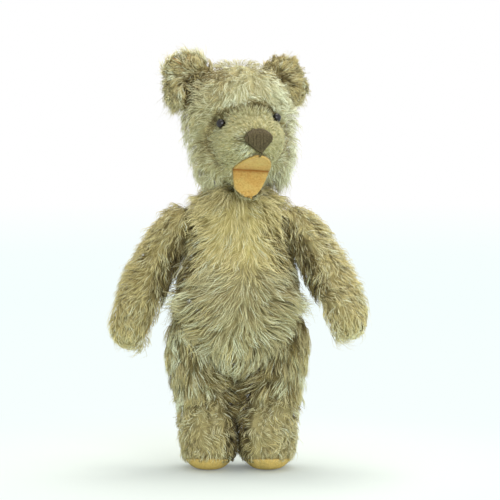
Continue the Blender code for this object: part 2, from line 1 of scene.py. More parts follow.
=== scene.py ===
"""The looks of a threadbare mohair teddy bear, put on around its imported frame.

The bear faces -Y, with +X on its own left. Lengths are in metres, and small sizes are written as
millimetres times MM.
"""

import json
import math

import bmesh
import bpy
import numpy as np
from mathutils import Matrix, Vector, noise
from mathutils.bvhtree import BVHTree
from mathutils.kdtree import KDTree


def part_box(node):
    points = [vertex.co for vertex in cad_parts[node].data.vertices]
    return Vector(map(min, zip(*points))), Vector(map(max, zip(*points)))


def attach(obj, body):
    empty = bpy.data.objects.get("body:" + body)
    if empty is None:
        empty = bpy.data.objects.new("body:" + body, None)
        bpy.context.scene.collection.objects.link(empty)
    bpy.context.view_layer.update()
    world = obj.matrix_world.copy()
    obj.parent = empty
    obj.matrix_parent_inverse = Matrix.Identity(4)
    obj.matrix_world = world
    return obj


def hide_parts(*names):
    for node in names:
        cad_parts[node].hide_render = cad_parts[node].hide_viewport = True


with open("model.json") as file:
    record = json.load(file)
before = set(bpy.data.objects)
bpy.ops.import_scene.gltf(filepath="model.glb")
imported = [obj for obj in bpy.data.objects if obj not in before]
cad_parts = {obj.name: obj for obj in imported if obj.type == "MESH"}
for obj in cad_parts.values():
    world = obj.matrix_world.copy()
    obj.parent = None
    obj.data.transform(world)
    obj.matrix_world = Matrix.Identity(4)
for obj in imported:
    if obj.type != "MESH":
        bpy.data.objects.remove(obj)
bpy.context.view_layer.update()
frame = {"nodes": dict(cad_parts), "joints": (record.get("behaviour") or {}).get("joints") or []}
nodes = frame["nodes"]
scene = bpy.context.scene
MM = 0.001

# The room. The bear stands on a white sweep under an even overcast light, and is seen through a long
# lens from a little above its middle.

LENS_DISTANCE = 1.8
VIEW_WIDTH = 332.5 * MM
VIEW_HEIGHT_ANGLE = math.radians(4.5)
VIEW_MIDDLE = Vector((8.2, 8.6, 145.0)) * MM

camera = bpy.data.objects.new("camera", bpy.data.cameras.new("camera"))
scene.collection.objects.link(camera)
scene.camera = camera
scene.view_settings.view_transform = "Standard"
camera.data.lens = camera.data.sensor_width * LENS_DISTANCE / VIEW_WIDTH
towards_lens = Vector((0, -math.cos(VIEW_HEIGHT_ANGLE), math.sin(VIEW_HEIGHT_ANGLE)))
camera.location = VIEW_MIDDLE + towards_lens * LENS_DISTANCE
camera.rotation_euler = towards_lens.to_track_quat("Z", "Y").to_euler()


def linear(code):
    """The linear colour of an sRGB hex code."""
    parts = [int(code[i : i + 2], 16) / 255 for i in (0, 2, 4)]
    return (*(p / 12.92 if p <= 0.04045 else ((p + 0.055) / 1.055) ** 2.4 for p in parts), 1.0)


def add(tree, kind, settings=None, inputs=None, stops=()):
    """Adds a node with its settings. An input takes a plain value or another node's output.

    A colour ramp also takes its stops, each a place from 0 to 1 and a hex code.
    """
    node = tree.nodes.new(kind)
    for name, value in (settings or {}).items():
        setattr(node, name, value)
    for name, value in (inputs or {}).items():
        if isinstance(value, bpy.types.NodeSocket):
            tree.links.new(value, node.inputs[name])
        else:
            node.inputs[name].default_value = value
    if stops:
        elements = node.color_ramp.elements
        elements[0].position, elements[1].position = stops[0][0], stops[-1][0]
        for place, _ in stops[1:-1]:
            elements.new(place)
        for element, (_, code) in zip(elements, stops):
            element.color = linear(code)
    return node


def light(name, place, aim, width, power, colour):
    """A round soft light of this width in metres and power in watts, turned towards its aim."""
    lamp = bpy.data.lights.new(name, "AREA")
    lamp.shape = "DISK"
    lamp.size = width
    lamp.energy = power
    lamp.color = linear(colour)[:3]
    made = bpy.data.objects.new(name, lamp)
    made.location = place
    made.rotation_euler = (Vector(place) - Vector(aim)).to_track_quat("Z", "Y").to_euler()
    scene.collection.objects.link(made)


light("overhead", (0.1, 0.2, 1.25), (0, 0, 0.12), 0.9, 13.2, "fffaf2")
light("front", (0.5, -1.5, 0.5), (0, 0, 0.14), 1.0, 13.0, "f8fbff")


def seen_plainly(tree):
    """1 for the rays that show the room: those from the lens, off gloss and through glass."""
    path = add(tree, "ShaderNodeLightPath")
    seen = path.outputs["Is Camera Ray"]
    for kind in ("Is Glossy Ray", "Is Transmission Ray"):
        larger = add(tree, "ShaderNodeMath", {"operation": "MAXIMUM"}, {0: seen, 1: path.outputs[kind]})
        seen = larger.outputs[0]
    return seen


world = bpy.data.worlds.new("room")
scene.world = world
world.use_nodes = True
world.node_tree.nodes.clear()
tree = world.node_tree
glow = add(tree, "ShaderNodeBackground", None, {"Color": linear("fdfbf6"), "Strength": 0.9})
white = add(tree, "ShaderNodeBackground", None, {"Color": (1, 1, 1, 1), "Strength": 1.0})
backdrop = {0: seen_plainly(tree), 1: glow.outputs[0], 2: white.outputs[0]}
either = add(tree, "ShaderNodeMixShader", None, backdrop)
add(tree, "ShaderNodeOutputWorld", None, {"Surface": either.outputs[0]})

SWEEP = 4.0
bm = bmesh.new()
bmesh.ops.create_grid(bm, x_segments=1, y_segments=1, size=SWEEP)
floor = bpy.data.objects.new("floor", bpy.data.meshes.new("floor"))
bm.to_mesh(floor.data)
bm.free()
scene.collection.objects.link(floor)
card = bpy.data.materials.new("white_card")
card.use_nodes = True
tree = card.node_tree
tree.nodes.clear()
inputs = {0: seen_plainly(tree), 6: linear("e9faf2"), 7: linear("ccd5d2")}
dimmed = add(tree, "ShaderNodeMix", {"data_type": "RGBA"}, inputs)
paper = add(tree, "ShaderNodeBsdfDiffuse", None, {"Color": dimmed.outputs[2]})
place = add(tree, "ShaderNodeTexCoord")
far = add(tree, "ShaderNodeVectorMath", {"operation": "LENGTH"}, {0: place.outputs["Object"]})
span = add(tree, "ShaderNodeMapRange", None, {"Value": far.outputs["Value"], "From Max": SWEEP})
tints = ((0.0, "f8fffe"), (0.3, "f5fffe"), (0.45, "f6fffe"), (0.72, "ffffff"), (1.0, "ffffff"))
tint = add(tree, "ShaderNodeValToRGB", None, {"Fac": span.outputs["Result"]}, tints)
bright = add(tree, "ShaderNodeEmission", None, {"Color": tint.outputs["Color"], "Strength": 1.0})
fade = add(
    tree,
    "ShaderNodeMapRange",
    {"interpolation_type": "SMOOTHSTEP"},
    {"Value": far.outputs["Value"], "From Min": 0.08, "From Max": 0.3, "To Min": 0.15, "To Max": 1.0},
)
inputs = {0: fade.outputs["Result"], 1: seen_plainly(tree)}
share = add(tree, "ShaderNodeMath", {"operation": "MULTIPLY"}, inputs)
inputs = {0: share.outputs[0], 1: paper.outputs[0], 2: bright.outputs[0]}
both = add(tree, "ShaderNodeMixShader", None, inputs)
add(tree, "ShaderNodeOutputMaterial", None, {"Surface": both.outputs[0]})
floor.data.materials.append(card)


# The cloth. Each stuffed part is a cotton cloth sewn to shape and packed tight, and the pile is woven
# into it. It is drawn over the outside of the part's solid and sunk by the depth of the pile.

RAY_FROM = 0.2
HEAD_FRAME = (
    Matrix.Translation(Vector((0.2, 8.6, 232.0)) * MM)
    @ Matrix.Rotation(math.radians(-3), 4, "Y")
    @ Matrix.Rotation(math.radians(14), 4, "Z")
)
CROWN = HEAD_FRAME @ (Vector((0, -8, -6)) * MM)


def outside_of(*names):
    """A tree of the triangles of these solids, for finding their outer surface."""
    points, faces = [], []
    for name in names:
        mesh = nodes[name].data
        mesh.calc_loop_triangles()
        first = len(points)
        points += [vert.co.copy() for vert in mesh.vertices]
        faces += [[first + i for i in face.vertices] for face in mesh.loop_triangles]
    return BVHTree.FromPolygons(points, faces)


def spine_of(name):
    """The two ends of a part's middle line, half its thickness in from each end."""
    points = np.array([vert.co for vert in nodes[name].data.vertices])
    middle = (points.min(0) + points.max(0)) / 2
    ways = np.linalg.eigh(np.cov((points - middle).T))[1]
    along = ways[:, 2]
    reach = (points - middle) @ ways
    half, thick = np.ptp(reach[:, 2]) / 2, np.ptp(reach[:, 1]) / 2
    run = along * (half - thick)
    return Vector(middle - run), Vector(middle + run)


def draw_over(names, low, high, detail, smoothing):
    """A ball drawn in onto the outside of these solids from all round the line from low to high."""
    tree = outside_of(*names)
    bm = bmesh.new()
    bmesh.ops.create_icosphere(bm, subdivisions=detail, radius=1.0)
    along = (high - low).normalized()
    for vert in bm.verts:
        way = vert.co.normalized()
        start = low.lerp(high, 0.5 + 0.5 * way.dot(along))
        met = tree.ray_cast(start + way * RAY_FROM, -way)[0]
        vert.co = met if met else start
    for _ in range(smoothing):
        axes = {f"use_axis_{axis}": True for axis in "xyz"}
        bmesh.ops.smooth_vert(bm, verts=bm.verts, factor=0.5, **axes)
    bm.normal_update()
    return bm


def sink(bm, depth):
    """Moves each point in along its normal. Depth is a number, or a function of the point."""
    steps = [(v, v.co - v.normal * (depth(v.co) if callable(depth) else depth)) for v in bm.verts]
    for vert, there in steps:
        vert.co = there
    bm.normal_update()
    return bm


def make(name, bm, body, material, replaced=(), slot=None, smooth=True):
    """Makes a piece from a bmesh, with its material, and sets it on its body."""
    mesh = bpy.data.meshes.new(name)
    bm.to_mesh(mesh)
    bm.free()
    piece = bpy.data.objects.new(name, mesh)
    scene.collection.objects.link(piece)
    mesh.materials.append(material)
    if smooth:
        mesh.shade_smooth()
    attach(piece, body)
    if replaced:
        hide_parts(*replaced)
    return piece


def principled(name, settings):
    """A new material with one Principled shader, and its node tree."""
    made = bpy.data.materials.new(name)
    made.use_nodes = True
    made.node_tree.nodes.clear()
    shader = add(made.node_tree, "ShaderNodeBsdfPrincipled", None, settings)
    add(made.node_tree, "ShaderNodeOutputMaterial", None, {"Surface": shader.outputs[0]})
    return made, made.node_tree, shader


# woven cotton, dyed like the pile over it, with the same painted shade that the pile's dark hair lays in
# creases and hollows, and browned with age: matt, with threads about 0.5 mm apart.
# A pattern's scale counts its grains in a metre, so 1.6 / MM puts 1.6 of them in a millimetre.
cloth_finish, tree, shader = principled("aged_cotton", {"Roughness": 0.95})
place = add(tree, "ShaderNodeTexCoord").outputs["Object"]
weave = add(tree, "ShaderNodeTexNoise", None, {"Vector": place, "Scale": 1.6 / MM, "Detail": 3.0})
threads = weave.outputs["Fac"]
dye = add(tree, "ShaderNodeAttribute", {"attribute_name": "dye"}).outputs["Color"]
depth = add(tree, "ShaderNodeMapRange", None, {"Value": threads, "To Min": 0.55, "To Max": 1.25})
dyed = add(tree, "ShaderNodeVectorMath", {"operation": "MULTIPLY"}, {0: dye, 1: depth.outputs[0]})
bump = add(tree, "ShaderNodeBump", None, {"Strength": 0.5, "Distance": 0.4 * MM, "Height": threads})
tree.links.new(dyed.outputs[0], shader.inputs["Base Color"])
tree.links.new(bump.outputs["Normal"], shader.inputs["Normal"])


def in_head(point):
    """A point in the head's own frame, in millimetres, where the face looks along -Y."""
    return (HEAD_FRAME.inverted() @ Vector(point)) / MM


MUZZLE = Vector((0, -34, -13))
JAW = Vector((-1, -33, -41))
joint_faces = {"torso": [], "head": []}
for joint in frame["joints"]:
    joint_faces["torso"].append(Vector(joint["pos_m"]))
    joint_faces[joint["child"]] = [Vector(joint["pos_m"])]


def rises(value, low, high):
    """0 below low and 1 above high, with a smooth rise between. Works on numbers and arrays."""
    share = np.clip((value - low) / (high - low), 0, 1)
    return share * share * (3 - 2 * share)


def falls(value, low, high):
    """1 below low and 0 above high, with a smooth fall between."""
    return 1 - rises(value, low, high)


def pile_depth(part, full):
    """How deep the cloth lies under the pile's outside, as a function of a point."""

    def depth(point):
        share = min(rises((point - face).length / MM, 9.0, 18.0) for face in joint_faces[part])
        if part == "head":
            here = in_head(point)
            share *= rises((here - MUZZLE).length, 19.0, 27.0) * 0.6 + 0.4
            share *= rises((here - JAW).length, 12.0, 20.0) * 0.7 + 0.3
        if "leg" in part:
            share *= 0.25 + 0.75 * rises(point.z / MM, 5.0, 15.0)
            share *= 0.2 + 0.8 * rises(abs(point.x) / MM, 8.0, 18.0)
        return max(0.25, full * share) * MM

    return depth


def keep_outside(bm, names, clear):
    """Lifts the points that have sunk into what fills the cloth."""
    tree = outside_of(*names)
    for vert in bm.verts:
        near, normal = tree.find_nearest(vert.co)[:2]
        if (vert.co - near).dot(normal) < clear:
            vert.co = near + normal * clear
    bm.normal_update()


CREASE = Vector((-0.3, -27.0, -33.0))
CREASE_RUN = Vector((1.0, 0.0, -0.12)).normalized()
PALATE_TIP = Vector((0.3, -50.5, -24.0))
JAW_TIP = Vector((-3.6, -38.7, -49.3))
MOUTH_HALVES = (11.4, 13.0)
FELT_LOBES = (
    (PALATE_TIP, (2.2, 2.2), (0.3, 0.05), -0.7, 0.4),
    (JAW_TIP, (5.0, 5.0), (0.02, 0.58), 0.9, 1.0),
)


def lobe_frame(tip):
    """The way from the fold to a lobe's tip, and the way its felt faces."""
    ahead = tip - CREASE
    outwards = CREASE_RUN.cross(ahead).normalized()
    return ahead, (outwards if outwards.y < 0 else -outwards)


def lobe_half(share, full, end, narrow):
    """The width of one side of a lobe of felt at this share of its length."""
    share = np.clip(share, 0, 1)
    return full * (1 - narrow * share) * np.sqrt(1 - share**end)


JAW_DEEP = 7.5


def jaw_form(bm):
    """Adds the stuffed underside of the lower jaw, behind its lobe of felt, to the head's cloth."""
    tip, ends, narrows = FELT_LOBES[1][:3]
    ahead, outwards = lobe_frame(tip)
    made = bmesh.ops.create_uvsphere(bm, u_segments=36, v_segments=24, radius=1.0)["verts"]
    for vert in made:
        share = 0.93 * (0.5 - 0.5 * vert.co.z)
        ring = max(math.hypot(vert.co.x, vert.co.y), 1e-6)
        u = vert.co.x / ring if ring > 1e-5 else 0.0
        near = math.sqrt(min(1.0, share / 0.1))
        half = 0.9 * near * float(lobe_half(share, MOUTH_HALVES[u > 0], ends[u > 0], narrows[u > 0]))
        deep = 0.9 + JAW_DEEP * near * math.sqrt(1 - share**3) * max(0.0, vert.co.y / ring)
        place = CREASE + ahead * share + CREASE_RUN * (half * u) - outwards * deep
        vert.co = HEAD_FRAME @ (place * MM)
    bmesh.ops.triangulate(bm, faces=list({face for vert in made for face in vert.link_faces}))
    bmesh.ops.recalc_face_normals(bm, faces=bm.faces)
    bm.normal_update()


SPINES = {"torso": ((0.2, 6.0, 104.0), (0.2, 7.0, 145.0)), "head": (CROWN / MM, CROWN / MM)}
cloths = {}
for part in ("torso", "head", "left_arm", "right_arm", "left_leg", "right_leg"):
    solids = [f"{part}_cover"] + ([f"{part}_sole"] if "leg" in part else [])
    inside = [f"{part}_filling"] + ([f"{part}_insole"] if "leg" in part else [])
    if part in SPINES:
        spine = [Vector(end) * MM for end in SPINES[part]]
    else:
        spine = spine_of(solids[0])
    detail = 6 if part == "head" or "leg" in part else 5
    cloths[part] = draw_over(solids, *spine, detail, 3)
    sink(cloths[part], pile_depth(part, 2.7 if "arm" in part else 3.9))
    keep_outside(cloths[part], inside, 0.3 * MM)
jaw_form(cloths["head"])

sewn_to = BVHTree.FromBMesh(cloths["head"])
for side in ("left", "right"):
    ear = f"{side}_ear"
    low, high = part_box(ear)
    cloths[ear] = draw_over([ear], (low + high) / 2, (low + high) / 2, 5, 2)
    shallower = 1.0 if side == "right" else 0.0
    height = high.z - low.z
    sink(cloths[ear], lambda v: (1.5 - shallower * rises((v.z - low.z) / height, 0.6, 0.95)) * MM)
    for vert in cloths[ear].verts:
        near, _, _, away = sewn_to.find_nearest(vert.co)
        vert.co = near.lerp(vert.co, float(rises(away / MM, 3.0, 9.0)))
    cloths[ear].normal_update()


def arrays(bm):
    """The corners, corner normals and areas of a mesh's triangles."""
    corners = np.array([[v.co for v in face.verts] for face in bm.faces])
    normals = np.array([[v.normal for v in face.verts] for face in bm.faces])
    across = np.cross(corners[:, 1] - corners[:, 0], corners[:, 2] - corners[:, 0])
    return corners, normals, np.linalg.norm(across, axis=1) / 2


skins = {name: arrays(bm) for name, bm in cloths.items()}
trees = {name: BVHTree.FromBMesh(bm) for name, bm in cloths.items()}
pad_frames = {}
for side in ("left", "right"):
    points = np.array([vert.co for vert in nodes[f"{side}_arm_paw_pad"].data.vertices])
    ways = np.linalg.eigh(np.cov((points - points.mean(0)).T))[1].T
    centre, (facing, across, along) = Vector(points.mean(0)), (Vector(way) for way in ways)
    middle = sum(spine_of(f"{side}_arm_cover"), Vector()) / 2
    facing = facing if (centre - middle).dot(facing) > 0 else -facing
    pad_frames[f"{side}_arm"] = (centre, across, along, facing)


def mohair_slot(part):
    """The slot of the plush that a part is sewn from."""
    kind = part.split("_")[-1]
    return f"{'limb' if kind in ('arm', 'leg') else kind}_mohair"


for part, bm in cloths.items():
    body, node = ("head", part) if "ear" in part else (part, f"{part}_cover")
    make(f"{part}_cloth", bm, body, cloth_finish, [node], mohair_slot(part))

# The pile. Mohair is the hair of a goat, woven upright into the cloth and combed flat. Age has matted
# it into pointed wavy locks, bleached their tips and worn it thin in places.

# the colours of each family of hair: at its root when dark and when light, and so at its tip. The dark
# family is also laid in creases, hollows and under parts as painted shade
SHADES = (
    ("362b12", "64552c", "5a4c26", "a08f58"),
    ("78693f", "a29260", "a79868", "dad0a2"),
    ("8f875a", "b8af80", "c0b888", "eee9c2"),
    ("8c7c46", "b5a568", "bdae72", "ede0a8"),
    ("aaa56e", "c2bd8b", "c3be8e", "dfdbb2"),
    ("b8a666", "d9ca84", "dacb8a", "fff5c4"),
    ("b0ae84", "d2d2a8", "d6d8ae", "fcffea"),
    ("7a4a18", "a86e28", "a87434", "dcab60"),
    ("a8a277", "c6c196", "bdb88c", "e6e4c2"),
)
DARK, TAUPE, GREIGE, FAWN, STRAW, CREAM, SILVER, STAIN, ASH = range(len(SHADES))
# the margin at both ends of a family's shades, the step between the three sides of a lock along them,
# and the length of a lock's waves
SHADE_EDGE = 0.08
STRIP = 0.005
WAVELENGTH = 9.0
# stray tufts that stand out past the rest: where each is rooted, and the way it points
TUFTS = {
    "torso": (((43.5, 8, 115), (1.0, -0.2, -0.5)), ((-45, 5, 110), (-1.0, -0.2, -0.6))),
    "right_leg": (((-43.7, 0, 38), (-1.0, -0.3, -0.1)),),
    "left_arm": (((60, 5, 163), (1.0, -0.2, 0.2)),),
    "head": (((39.7, -10, 202), (1.0, -0.3, -0.2)),),
    "right_ear": (((-43, -3, 262), (-0.8, -0.2, 0.6)), ((-34, 0, 270), (0.0, -0.2, 1.0))),
}

# smooth hair with a soft gleam, dark at its root and bleached towards its tip
mohair, tree, shader = principled(
    "aged_mohair",
    {"Roughness": 0.7, "Specular IOR Level": 0.3, "Sheen Weight": 0.05, "Sheen Roughness": 0.5},
)
strip = add(tree, "ShaderNodeUVMap", {"uv_map": "OFBake"}).outputs["UV"]
parts = add(tree, "ShaderNodeSeparateXYZ", None, {0: strip}).outputs


def shade_stops(dark, light):
    """The stops of a ramp across all the families, each from its dark shade to its light one."""
    stops = []
    for i, shades in enumerate(SHADES):
        stops.append((i / len(SHADES) + 0.001, shades[dark]))
        stops.append(((i + 1) / len(SHADES) - 0.001, shades[light]))
    return stops


at_root = add(tree, "ShaderNodeValToRGB", None, {"Fac": parts["X"]}, shade_stops(0, 1))
at_tip = add(tree, "ShaderNodeValToRGB", None, {"Fac": parts["X"]}, shade_stops(2, 3))
inputs = {"Value": parts["Y"], "From Min": 0.05, "From Max": 0.75}
along = add(tree, "ShaderNodeMapRange", {"interpolation_type": "SMOOTHSTEP"}, inputs)
inputs = {0: along.outputs["Result"], 6: at_root.outputs["Color"], 7: at_tip.outputs["Color"]}
blend = add(tree, "ShaderNodeMix", {"data_type": "RGBA"}, inputs)
tree.links.new(blend.outputs[2], shader.inputs["Base Color"])


def lock_form(rings):
    """A lock of hair as a three-sided spindle: the level and side of each point, and its triangles."""
    bm = bmesh.new()
    bmesh.ops.create_uvsphere(bm, u_segments=3, v_segments=rings + 1, radius=1.0)
    bmesh.ops.triangulate(bm, faces=bm.faces)
    levels = [round((1 - math.acos(max(-1, min(1, v.co.z))) / math.pi) * (rings + 1)) for v in bm.verts]
    angles = [math.atan2(v.co.y, v.co.x) for v in bm.verts]
    faces = [[v.index for v in face.verts] for face in bm.faces]
    bm.free()
    return np.array(levels), np.array(angles), np.array(faces)


def unit(vectors):
    """The same vectors with a length of 1."""
    return vectors / np.maximum(np.linalg.norm(vectors, axis=-1, keepdims=True), 1e-12)


def mottle(points, size, seed):
    """Soft noise from about -1 to 1 at each point, with patches of this size in millimetres."""
    shift = Vector((seed * 7.3, seed * 3.1, seed * 5.7))
    return np.array([noise.noise(Vector(p) / size + shift) for p in points]) * 1.6


def comb(roots, normals, ways, reach, steps, part):
    """Walks each hair over the cloth: its points on the surface, and the surface's normals there."""
    surface = trees[part]
    places = np.empty((len(roots), steps + 1, 3))
    uprights = np.empty_like(places)
    for i, (root, normal, way) in enumerate(zip(roots, normals, ways)):
        place, upright, way = Vector(root), Vector(normal), Vector(way)
        stride = reach[i] / steps
        places[i, 0], uprights[i, 0] = place, upright
        for k in range(1, steps + 1):
            near, normal = surface.find_nearest(place + way * stride)[:2]
            way = way - normal * way.dot(normal)
            way.normalize()
            upright = upright.lerp(normal, 0.6).normalized()
            place = near
            places[i, k], uprights[i, k] = place, upright
    return places, uprights


def drawn(mix, rng, count):
    """One family for each hair, drawn from the shares of the families that grow there."""
    shares = np.stack([np.broadcast_to(np.clip(share, 0, None), count) for share in mix.values()])
    steps = shares.cumsum(0) / np.maximum(shares.sum(0), 1e-9)
    return np.array(list(mix))[(rng.random(count) > steps).sum(0).clip(max=len(mix) - 1)]


def varied(rng, count, amount, low, high):
    """Random factors about 1, kept between low and high."""
    return rng.normal(1, amount, count).clip(low, high)


def grow(name, part, count, rings, style, seed, clear=(), clump=7):
    """Grows locks of pile on a part's cloth, as its style says for each place."""
    # roots are spread over the cloth, closer where the pile is whole, and each takes its place's style
    rng = np.random.default_rng(seed)
    corners, corner_normals, areas = skins[part]
    worn = style(corners.mean(1) / MM, unit(corner_normals.mean(1)))["cover"]
    chance = areas * np.clip(worn, 0, None)
    pick = rng.choice(len(areas), count, p=chance / chance.sum())
    a, b = rng.random((2, count))
    a, b = np.where(a + b > 1, 1 - a, a), np.where(a + b > 1, 1 - b, b)
    weights = np.stack([1 - a - b, a, b], 1)[:, :, None]
    roots = (corners[pick] * weights).sum(1)
    normals = unit((corner_normals[pick] * weights).sum(1))
    look = style(roots / MM, normals)
    look["family"] = drawn(look.pop("mix"), rng, count)
    for place, way in TUFTS.get(part, ()):
        near = falls(np.linalg.norm(roots / MM - np.array(place), axis=1), 2.0, 5.5)
        look["length"] += 3.0 * near
        look["cling"] *= 1 - 0.8 * near
        look["comb"] += 3.0 * near[:, None] * np.array(way)

    # neighbours are gathered in clumps about a leader, and many take the leader's colour
    centres = rng.choice(count, max(1, count // clump), replace=False)
    finder = KDTree(len(centres))
    for k, i in enumerate(centres):
        finder.insert(roots[i], k)
    finder.balance()
    group = np.array([finder.find(root)[1] for root in roots])
    alike = rng.random(count) < look["alike"]
    look["family"] = np.where(alike, look["family"][centres[group]], look["family"])

    # each lies along the way it was combed, twisted a little with its clump and a few by themselves
    ways = unit(look["comb"] - normals * (look["comb"] * normals).sum(1, keepdims=True))
    twist = rng.normal(0, 1, len(centres))[group] * look["tangle"] + rng.normal(0, 0.2, count)
    twist += look["swirl"] * mottle(roots / MM, 17.0, seed)
    across = np.cross(normals, ways)
    ways = ways * np.cos(twist)[:, None] + across * np.sin(twist)[:, None]

    loose = rng.random(count) < look["loose"]
    for trait, change in (("cling", 0.5), ("rise", 1.3), ("length", 1.2), ("width", 0.5)):
        look[trait] = np.where(loose, look[trait] * change, look[trait])

    # its path follows the cloth, or hangs free of it, rises off it and ends near its leader's tip
    steps = rings + 1
    reach = look["length"] * MM * varied(rng, count, 0.16, 0.5, 1.5)
    reach *= varied(rng, len(centres), 0.14, 0.6, 1.4)[group]
    places, uprights = comb(roots, normals, ways, reach, steps, part)
    share = np.linspace(0, 1, steps + 1)

    cling = look["cling"][:, None, None]
    free = unit(unit(look["comb"]) + rng.normal(0, 0.2, (count, 3)))
    straight = roots[:, None] + free[:, None] * reach[:, None, None] * share[None, :, None]
    places = places * cling + straight * (1 - cling)
    rise = look["rise"] * MM * varied(rng, count, 0.16, 0.3, 1.8)
    rise *= varied(rng, len(centres), 0.14, 0.5, 1.6)[group]
    lift = 1 - (1 - share) ** 2.6
    places = places + uprights * (rise[:, None] * lift)[:, :, None]

    leader = centres[group]
    ahead = places[leader] + (roots - roots[leader])[:, None] * (1 - share * 0.85)[None, :, None]
    drawn_in = (look["pull"] + rng.normal(0, 0.2, len(centres))[group]).clip(0, 0.9)
    pull = (share**0.9)[None, :, None] * drawn_in[:, None, None]
    pull = pull * rng.uniform(0.55, 1.15, count).clip(0, 1)[:, None, None]
    places = places * (1 - pull) + ahead * pull

    # it waves from side to side, and half as much up and down
    sideways = unit(np.cross(uprights, ways[:, None]))
    phase = rng.uniform(0, math.tau, len(centres))[group] + rng.normal(0, 0.5, count)
    turns = reach / (WAVELENGTH * MM)
    turned = math.tau * turns[:, None] * share + phase[:, None]
    wave = np.sin(turned) - np.sin(phase)[:, None]
    bob = np.cos(turned) - np.cos(phase)[:, None]
    size = (look["wave"] * MM)[:, None] * share**0.7
    places = places + sideways * (wave * size)[:, :, None] + uprights * (bob * size * 0.5)[:, :, None]

    # those that would cover an eye, the nose or felt are left out, and the rest become spindles
    kept = np.ones(count, bool)
    for test in clear:
        kept &= ~test(places / MM).any(1)
    places, uprights, look = places[kept], uprights[kept], {k: v[kept] for k, v in look.items()}
    count = len(places)
    along = unit(np.gradient(places, axis=1))
    beside = unit(np.cross(uprights, along))
    above = np.cross(along, beside)
    roll = rng.uniform(0, math.tau, count)[:, None, None]
    wide = beside * np.cos(roll) + above * np.sin(roll)
    thin = above * np.cos(roll) - beside * np.sin(roll)
    level, angle, faces = lock_form(rings)
    profile = np.sin(math.pi * (0.16 + 0.84 * share) ** 0.9) ** 0.6
    profile[0] = profile[-1] = 0.0
    half = look["width"] * MM / 2 * varied(rng, count, 0.2, 0.5, 1.6)
    radius = half[:, None] * profile[level][None]
    points = places[:, level]
    points = points + wide[:, level] * (radius * np.cos(angle))[:, :, None]
    points = points + thin[:, level] * (radius * np.sin(angle) * 0.7)[:, :, None]
    triangles = (faces[None] + np.arange(count)[:, None, None] * len(level)).reshape(-1, 3)

    # the colours are read along a strip of shades: across it by family and tone, up it to the tip
    tone = look["tone"] + look["spread"] * rng.normal(0, 1, count)
    tone = (tone + look["alike"] * look["spread"] * rng.normal(0, 1, len(centres))[group[kept]]).clip(0, 1)
    column = (look["family"] + SHADE_EDGE + (1 - 2 * SHADE_EDGE) * tone) / len(SHADES)
    strip = np.round(angle / (math.tau / 3)) * STRIP * (profile[level] > 0)
    across = column[:, None] + strip[None]
    up = np.broadcast_to(0.01 + 0.98 * share[level], across.shape)
    flat = triangles.ravel()
    mesh = bpy.data.meshes.new(name)
    mesh.vertices.add(points.shape[0] * points.shape[1])
    mesh.vertices.foreach_set("co", points.astype(np.float32).ravel())
    mesh.loops.add(len(flat))
    mesh.loops.foreach_set("vertex_index", flat.astype(np.int32))
    mesh.polygons.add(len(triangles))
    mesh.polygons.foreach_set("loop_start", np.arange(0, len(flat), 3, dtype=np.int32))
    mesh.uv_layers.new(name="OFBake")
    uv = np.stack([across.ravel()[flat], up.ravel()[flat]], 1)
    mesh.uv_layers["OFBake"].uv.foreach_set("vector", uv.astype(np.float32).ravel())
    mesh.update()
    mesh.validate()
    mesh.shade_smooth()
    mesh.materials.append(mohair)
    piece = bpy.data.objects.new(name, mesh)
    scene.collection.objects.link(piece)
    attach(piece, "head" if "ear" in part else part)
    return piece


def even(points, comb, mix, **values):
    """A style's table, with one value for each place, from single numbers or arrays."""
    table = dict(length=10.0, rise=5.0, width=0.4, tangle=0.22, wave=0.5, cling=1.0, cover=1.0)
    table.update(tone=0.5, spread=0.17, swirl=0.35, loose=0.08, pull=0.3, alike=0.4)
    table.update(values)
    full = {name: np.broadcast_to(np.asarray(v, float), len(points)).copy() for name, v in table.items()}
    full["comb"] = np.broadcast_to(np.asarray(comb, float), points.shape).copy()
    full["mix"] = mix
    return full


def dye_cloth(part, style):
    """Dyes a part's cloth like the roots of the pile that grows on it, including the painted shade where the
    pile's dark hair stands for shade.
    """
    mesh = bpy.data.objects[f"{part}_cloth"].data
    points = np.array([vert.co for vert in mesh.vertices]) / MM
    look = style(points, np.array([vert.normal for vert in mesh.vertices]))
    tone = look["tone"][:, None].clip(0, 1)
    total, colour = 0, 0
    for family, share in look["mix"].items():
        share = np.broadcast_to(np.clip(share, 0, None), len(points))[:, None] + 1e-6
        dark, light = (np.array(linear(code)) for code in SHADES[family][:2])
        colour = colour + share * (dark + (light - dark) * tone)
        total = total + share
    layer = mesh.color_attributes.new("dye", "FLOAT_COLOR", "POINT")
    layer.data.foreach_set("color", (colour / total).astype(np.float32).ravel())


WHORL = Vector((5.0, -28.0, 134.0))


